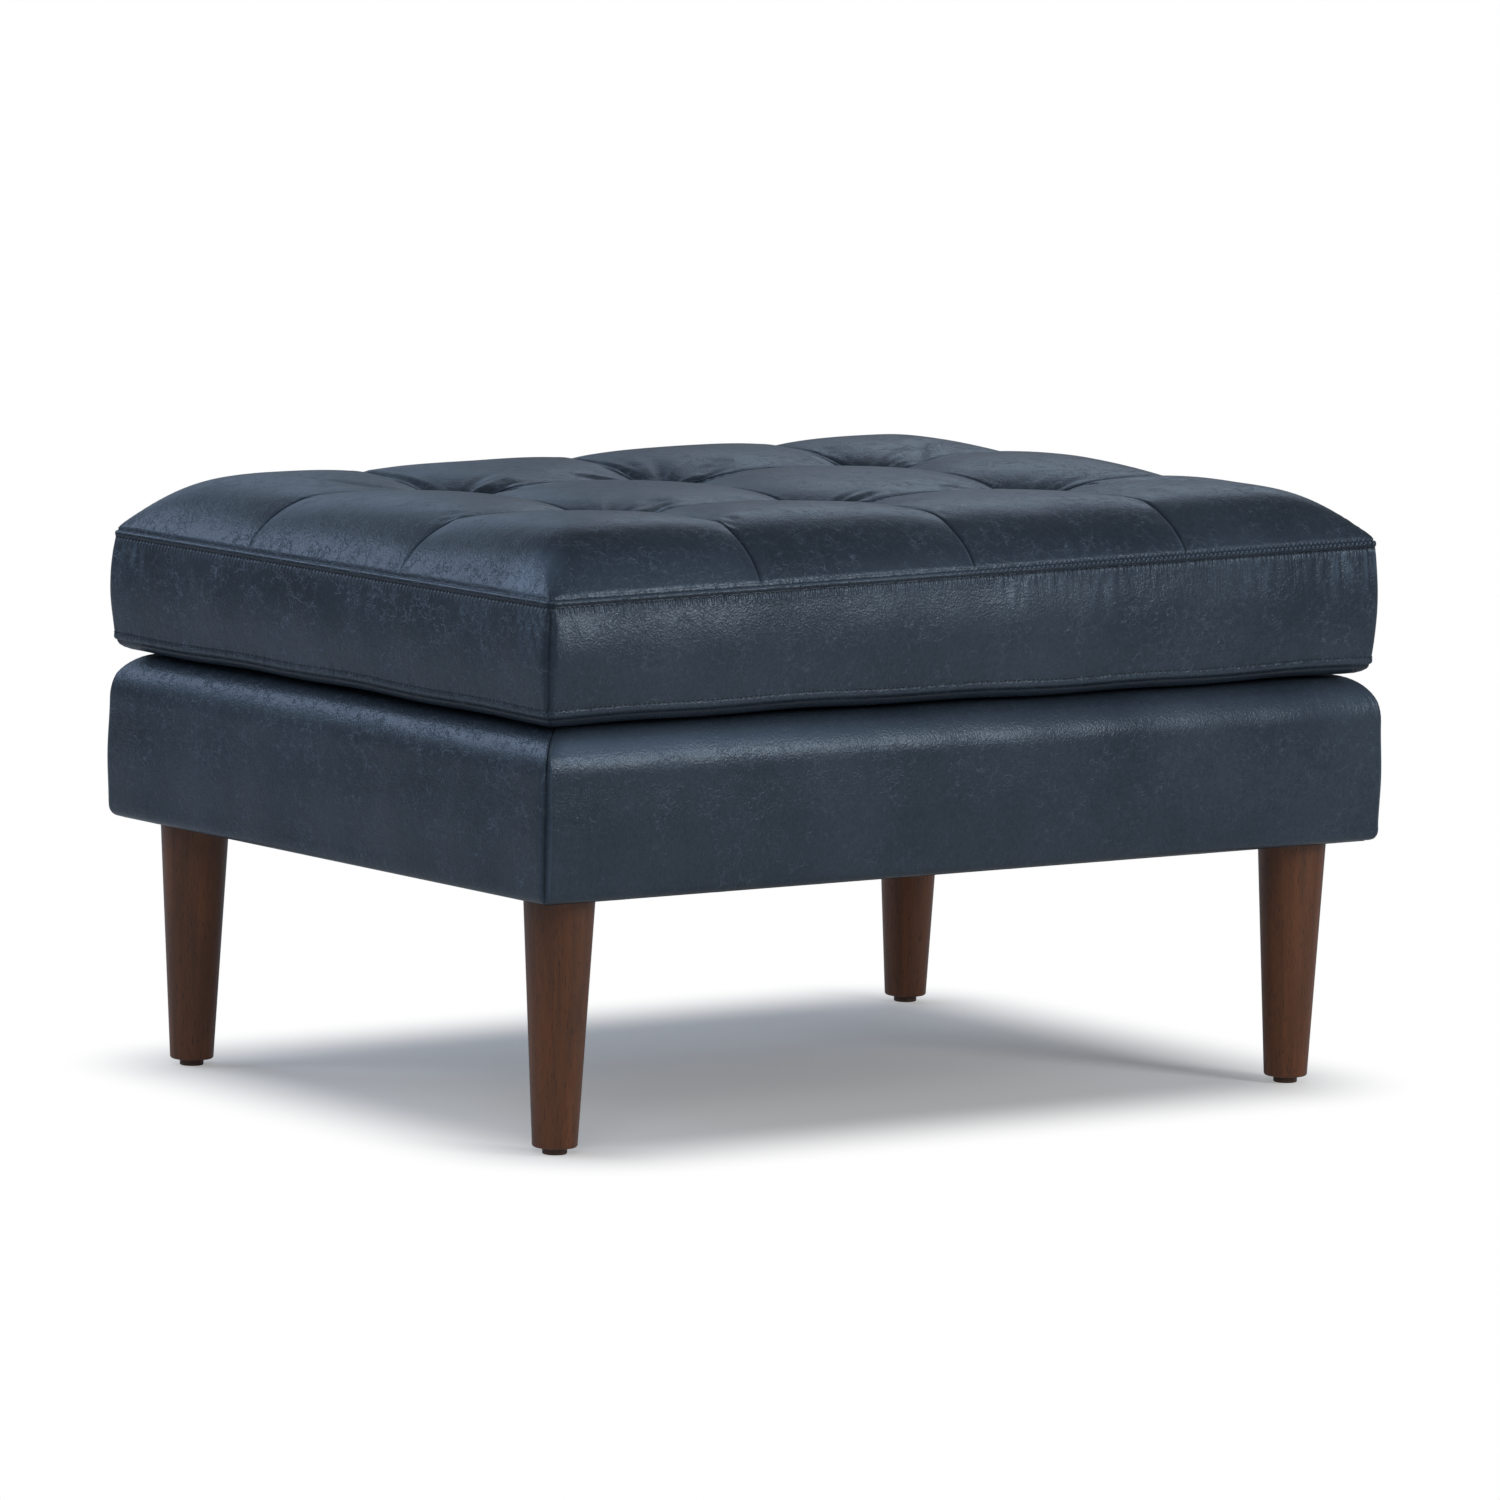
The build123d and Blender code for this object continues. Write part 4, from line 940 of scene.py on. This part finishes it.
# %% Stitch rows
thread = new_material("bonded_nylon_thread_navy", 0.65)
thread_place = add_node(thread, "TexCoord", take="Object")
twist = add_node(thread, "TexNoise", {"Scale": 1 / 0.0012, "Detail": 2, "Vector": thread_place})
thread_tone = add_node(thread, "Mix", {0: twist, 6: linear("#10161D"), 7: linear("#202A35")}, 2,
                       data_type="RGBA")
thread_bump = add_node(thread, "Bump", {"Strength": 0.4, "Distance": 0.0003, "Height": twist})
to_shader(thread, Base_Color=thread_tone, Normal=thread_bump)
stitch_length, thread_thick, thread_sides = 3.0, 0.85, 6


def row_line(piece, ring, ways, row_numbers):
    """The points of one wall row in order round the cushion, the way each faces and its place round
    the outline, in mm."""
    picked = np.flatnonzero(row_numbers == ring)
    picked = picked[np.argsort(ways[picked])]
    normals = np.empty(len(piece.data.vertices) * 3)
    piece.data.vertices.foreach_get("normal", normals)
    return points_of(piece)[picked] * 1000, normals.reshape(-1, 3)[picked], ways[picked]


def stitch_row(line_points, line_normals, line_ways, proud):
    """The points and faces of a row of stitches along a closed line."""
    run = np.concatenate([line_ways, line_ways[:1] + cushion_way])
    middles = (np.arange(stitch_count) + 0.5) * cushion_way / stitch_count
    steps = np.linspace(-0.5, 0.5, 5)
    dips = np.array([-0.55, 0.0, 0.12, 0.0, -0.55])
    thin = np.array([0.55, 0.95, 1.0, 0.95, 0.55]) * thread_thick / 2
    around = np.radians(np.arange(0, 360, 360 // thread_sides))
    sampled = (middles[:, None] + steps[None] * stitch_length) % cushion_way
    centre, out = (np.stack([np.interp(sampled, run, np.append(values[:, k], values[0, k]))
                             for k in range(3)], -1) for values in (line_points, line_normals))
    out /= np.linalg.norm(out, axis=-1, keepdims=True)
    ahead = np.gradient(centre, axis=1)
    ahead /= np.linalg.norm(ahead, axis=-1, keepdims=True)
    side = np.cross(ahead, out)
    centre = centre + out * (dips[None, :, None] * thread_thick + proud)
    ring = (side[:, :, None] * np.cos(around)[None, None, :, None]
            + out[:, :, None] * np.sin(around)[None, None, :, None])
    bars = (centre[:, :, None] + ring * thin[None, :, None, None]).reshape(-1, 3)
    n = thread_sides
    quads = np.array([(s + k, s + (k + 1) % n, s + n + (k + 1) % n, s + n + k)
                      for s in range(0, 4 * n, n) for k in range(n)])[:, ::-1]
    ends = np.array([range(n), range(5 * n - 1, 4 * n - 1, -1)])
    starts = np.arange(stitch_count)[:, None, None] * 5 * n
    return bars, (quads[None] + starts).reshape(-1, 4), (ends[None] + starts).reshape(-1, 6)


def stitch_piece(name, rows_of_stitches, body):
    """One piece holding several rows of stitches."""
    points, faces = [], []
    for bars, quads, ends in rows_of_stitches:
        start = sum(len(p) for p in points)
        points.append(bars)
        faces += (quads + start).tolist() + (ends + start).tolist()
    mesh = bpy.data.meshes.new(name)
    mesh.from_pydata(np.concatenate(points) / 1000, [], faces)
    piece = bpy.data.objects.new(name, mesh)
    bpy.context.collection.objects.link(piece)
    pick(piece)
    edit(select_all, face_out)
    mesh.materials.append(thread)
    bpy.ops.object.shade_smooth()
    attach(piece, body)
    print(name, "faces:", len(mesh.polygons))


stitch_piece("cushion_stitches", [
    stitch_row(*row_line(cushion, ring, cushion_ways, cushion_rings), proud)
    for ring, proud in ((band_stitch_row, 0.1), (lip_stitch_row, 0.05))], "cushion")

# %% [markdown]
# ## Wood and metal
# The legs are turned hardwood, stained walnut and lacquered to a satin sheen. The stain soaks into
# the open pores, so they show as short dark flecks along the leg, and paler streaks run between
# them. Pores are 0.2 mm wide and 3 to 10 mm long; they are drawn 0.5 mm wide. The frame inside is
# plain beech, and the fixings are zinc-plated steel.

# %% Wood
def wood_material(name, pale, middle, dark, roughness, fleck_strength, grain_axis=(1, 1, 0.045)):
    """Wood with long streaks and short dark pores along one axis."""
    made = new_material(name, roughness)
    where = add_node(made, "TexCoord", take="Object")
    pore_axis = [0.09 if a < 1 else a for a in grain_axis]
    long_place, pore_place = (add_node(made, "Mapping", {"Scale": axis, "Vector": where})
                              for axis in (grain_axis, pore_axis))
    streaks = add_node(made, "TexNoise", {"Scale": 1 / 0.009, "Detail": 5, "Distortion": 0.4,
                                          "Vector": long_place})
    streak = add_node(made, "MapRange", {0: streaks, 1: 0.33, 2: 0.68})
    fine = add_node(made, "TexNoise", {"Scale": 1 / 0.0018, "Detail": 3, "Vector": long_place})
    pore_noise = add_node(made, "TexNoise", {"Scale": 1 / 0.0007, "Detail": 1, "Vector": pore_place})
    pore = add_node(made, "MapRange", {0: pore_noise, 1: 0.60, 2: 0.70})
    colour = add_node(made, "Mix", {0: streak, 6: linear(middle), 7: linear(pale)}, 2, data_type="RGBA")
    for pattern, strength in ((fine, 0.45), (pore, fleck_strength)):
        share = add_node(made, "Math", {0: pattern, 1: strength}, operation="MULTIPLY")
        colour = add_node(made, "Mix", {0: share, 6: colour, 7: linear(dark)}, 2, data_type="RGBA")
    sunk_pores = add_node(made, "Math", {0: pore, 1: -0.7, 2: fine}, operation="MULTIPLY_ADD")
    bump = add_node(made, "Bump", {"Strength": 0.25, "Distance": 0.0004, "Height": sunk_pores})
    to_shader(made, Base_Color=colour, Normal=bump)
    return made


walnut_stain = wood_material("turned_hardwood_walnut_stain_satin_lacquer", "#7C4722", "#5E3518",
                             "#2B1507", 0.42, 0.75)
beech = wood_material("planed_beech", "#D2B08A", "#BF9870", "#8A6542", 0.6, 0.35, (0.045, 1, 1))
leg_names = [n for n in nodes if n.startswith("leg_")]
beech_names = [n for n in nodes if n.startswith("rail_") or n in ("cross_rail", "corner_blocks")]
dress(leg_names, walnut_stain)
dress(beech_names, beech)
print("wooden nodes:", len(leg_names) + len(beech_names))

# %% Metal, nylon, felt and twine
def speckled_material(name, pale, dark, speck, roughness, metallic=0.0, bump_depth=0.0002):
    """A material with a fine uneven tone and surface: plating, moulded nylon, felt or twine."""
    made = new_material(name, roughness, metallic=metallic)
    where = add_node(made, "TexCoord", take="Object")
    specks = add_node(made, "TexNoise", {"Scale": 1 / speck, "Detail": 4, "Vector": where})
    share = add_node(made, "MapRange", {0: specks, 1: 0.35, 2: 0.65})
    colour = add_node(made, "Mix", {0: share, 6: linear(dark), 7: linear(pale)}, 2, data_type="RGBA")
    uneven = add_node(made, "MapRange", {0: specks, 1: 0.3, 2: 0.7, 3: roughness - 0.06,
                                         4: roughness + 0.06})
    bump = add_node(made, "Bump", {"Strength": 0.3, "Distance": bump_depth, "Height": specks})
    to_shader(made, Base_Color=colour, Roughness=uneven, Normal=bump)
    return made


zinc_steel = speckled_material("zinc_plated_steel", "#B9BCC0", "#94979C", 0.004, 0.34, 1.0, 0.0001)
spring_steel = speckled_material("oil_tempered_spring_wire", "#77797C", "#4B4C4F", 0.006, 0.42, 1.0,
                                 0.0001)
glide_nylon = speckled_material("moulded_nylon_brown", "#5C4030", "#4A3225", 0.002, 0.5)
tuft_felt = speckled_material("pressed_wool_felt_grey", "#8B8780", "#5F5C57", 0.001, 0.95, 0.0, 0.0006)
waxed_twine = speckled_material("waxed_flax_twine", "#B3A07C", "#7F6E50", 0.0008, 0.7, 0.0, 0.0004)
dress([n for n in nodes if n.startswith("glide_")], glide_nylon)
dress(["corner_block_screws", "hanger_bolts", "tee_nuts", "spring_clips", "clip_nails",
       "dust_cover_staples"], zinc_steel)
dress(["seat_springs"], spring_steel)
dress(["rail_dowels"], beech)
dress(["tuft_discs"], tuft_felt)
cords.data.materials.clear()
cords.data.materials.append(waxed_twine)
undressed = [n for n, o in nodes.items()
             if not o.hide_render and not (o.data.materials and "_" in o.data.materials[0].name)]
print("nodes without a finish:", undressed)

# %% [markdown]
# ## Floor and light
# The floor is plain white. Under the table it is a real surface that takes the soft shadow, and seen
# from the camera a faint glow of 13 % white lies over it there: painted light that lifts the shadow.
# The glow rises to plain white close round the table's outline, so the shadow ends there, and further
# away, only where it is looked at, it turns to plain white, as a studio backdrop does. Three
# soft boxes behind the table light the top of the cushion, one on the left puts the long highlight
# on its left shoulder, and one at the front left lights the left end. Two small ones at the front
# right put the highlight on the upper edge of the base, where a painted highlight adds to it. The
# faintly blue surroundings fill the rest.

# %% Floor
floor_size, shadow_lift_glow, mirror_share = 120, 0.13, 0.1
pick()
bpy.ops.mesh.primitive_plane_add(size=floor_size)
floor = bpy.context.object
floor.name = "floor"
floor_paint = new_material("matt_white_studio_floor", 0.9)
# Painted light: seen from the camera, a glow of 13 % white lies over the real shadow under the table,
# rising to plain white 155 mm outside a 580 by 400 mm rectangle, so the shadow ends close round the table's
# outline.
rim_gap = add_node(floor_paint, "TexCoord", take="Object")
for operation, vector in (("MULTIPLY", (1, 1, 0)), ("ABSOLUTE", (0, 0, 0)),
                          ("SUBTRACT", (0.29, 0.20, 0)), ("MAXIMUM", (0, 0, 0))):
    rim_gap = add_node(floor_paint, "VectorMath", {0: rim_gap, 1: vector}, operation=operation)
away = add_node(floor_paint, "VectorMath", {0: rim_gap}, take="Value", operation="LENGTH")
white = add_node(floor_paint, "MapRange", {0: away, 1: 0.0, 2: 0.155, 3: shadow_lift_glow, 4: 1.0},
                 interpolation_type="SMOOTHSTEP")
ray = add_node(floor_paint, "LightPath").node.outputs
mirrored = add_node(floor_paint, "Math", {0: ray["Is Glossy Ray"], 1: ray["Is Transmission Ray"]},
                    operation="MAXIMUM")
dim_mirrored = add_node(floor_paint, "Math", {0: mirrored, 1: mirror_share}, operation="MULTIPLY")
seen_share = add_node(floor_paint, "Math", {0: ray["Is Camera Ray"], 1: dim_mirrored},
                      operation="MAXIMUM")
white_share = add_node(floor_paint, "Math", {0: white, 1: seen_share}, operation="MULTIPLY")
main_shader(floor_paint).inputs["Base Color"].default_value = linear("#FFFFFF")
glow = add_node(floor_paint, "Emission", {"Color": linear("#FFFFFF"), "Strength": 1.0})
blend = add_node(floor_paint, "MixShader", {0: white_share, 1: main_shader(floor_paint).outputs[0],
                                            2: glow})
floor_paint.node_tree.links.new(blend, floor_paint.node_tree.nodes["Material Output"].inputs["Surface"])
floor.data.materials.append(floor_paint)
print("floor size in m:", floor_size)

# %% Surroundings and lamps
fill_strength = 0.172
world = bpy.data.worlds.new("studio")
bpy.context.scene.world = world
world.use_nodes = True
seen = add_node(world, "LightPath")
pale = add_node(world, "Mix", {0: seen, 6: linear("#E6F0FF"), 7: linear("#FFFFFF")}, 2,
                data_type="RGBA")
strength = add_node(world, "MapRange", {0: seen, 3: fill_strength, 4: 1.0})
for socket, source in {"Color": pale, "Strength": strength}.items():
    world.node_tree.links.new(source, world.node_tree.nodes["Background"].inputs[socket])

# Soft boxes: name, place and aim in metres, width, height, watts and colour.
middle, near_edge = (0.0, 0.0, 0.35), (-0.3, -0.28, 0.29)
for name, place, aim, wide, high, watts, colour in (
        ("rear_box", (0.6, 2.6, 1.5), middle, 1.8, 0.9, 4.6, "#C3DFFF"),
        ("rear_left_box", (-1.35, 2.3, 1.8), middle, 1.4, 1.0, 14.0, "#D0E2FF"),
        ("rear_right_box", (2.0, 1.9, 1.7), middle, 1.2, 1.0, 4.6, "#D4E8FF"),
        ("left_box", (-2.3, 1.2, 1.5), middle, 1.0, 1.0, 9.5, "#EDF5FF"),
        ("front_left_box", (-1.8, -1.9, 1.7), middle, 1.2, 1.0, 11.0, "#FFFFFF"),
        ("front_right_box", (0.77, -1.67, 0.85), near_edge, 0.5, 0.4, 8.0, "#FFFFFF"),
        ("front_right_tall_box", (0.77, -1.6, 1.0), near_edge, 0.6, 0.9, 2.6, "#FFFFFF")):
    pick()
    bpy.ops.object.light_add(type="AREA", location=place)
    lamp = bpy.context.object
    lamp.name = name
    lamp.data.shape, lamp.data.size, lamp.data.size_y = "RECTANGLE", wide, high
    lamp.data.energy, lamp.data.color = watts, linear(colour)[:3]
    lamp.rotation_euler = (Vector(aim) - Vector(place)).to_track_quat("-Z", "Y").to_euler()
    lamp.visible_camera = False
bpy.context.scene.view_settings.view_transform = "Standard"
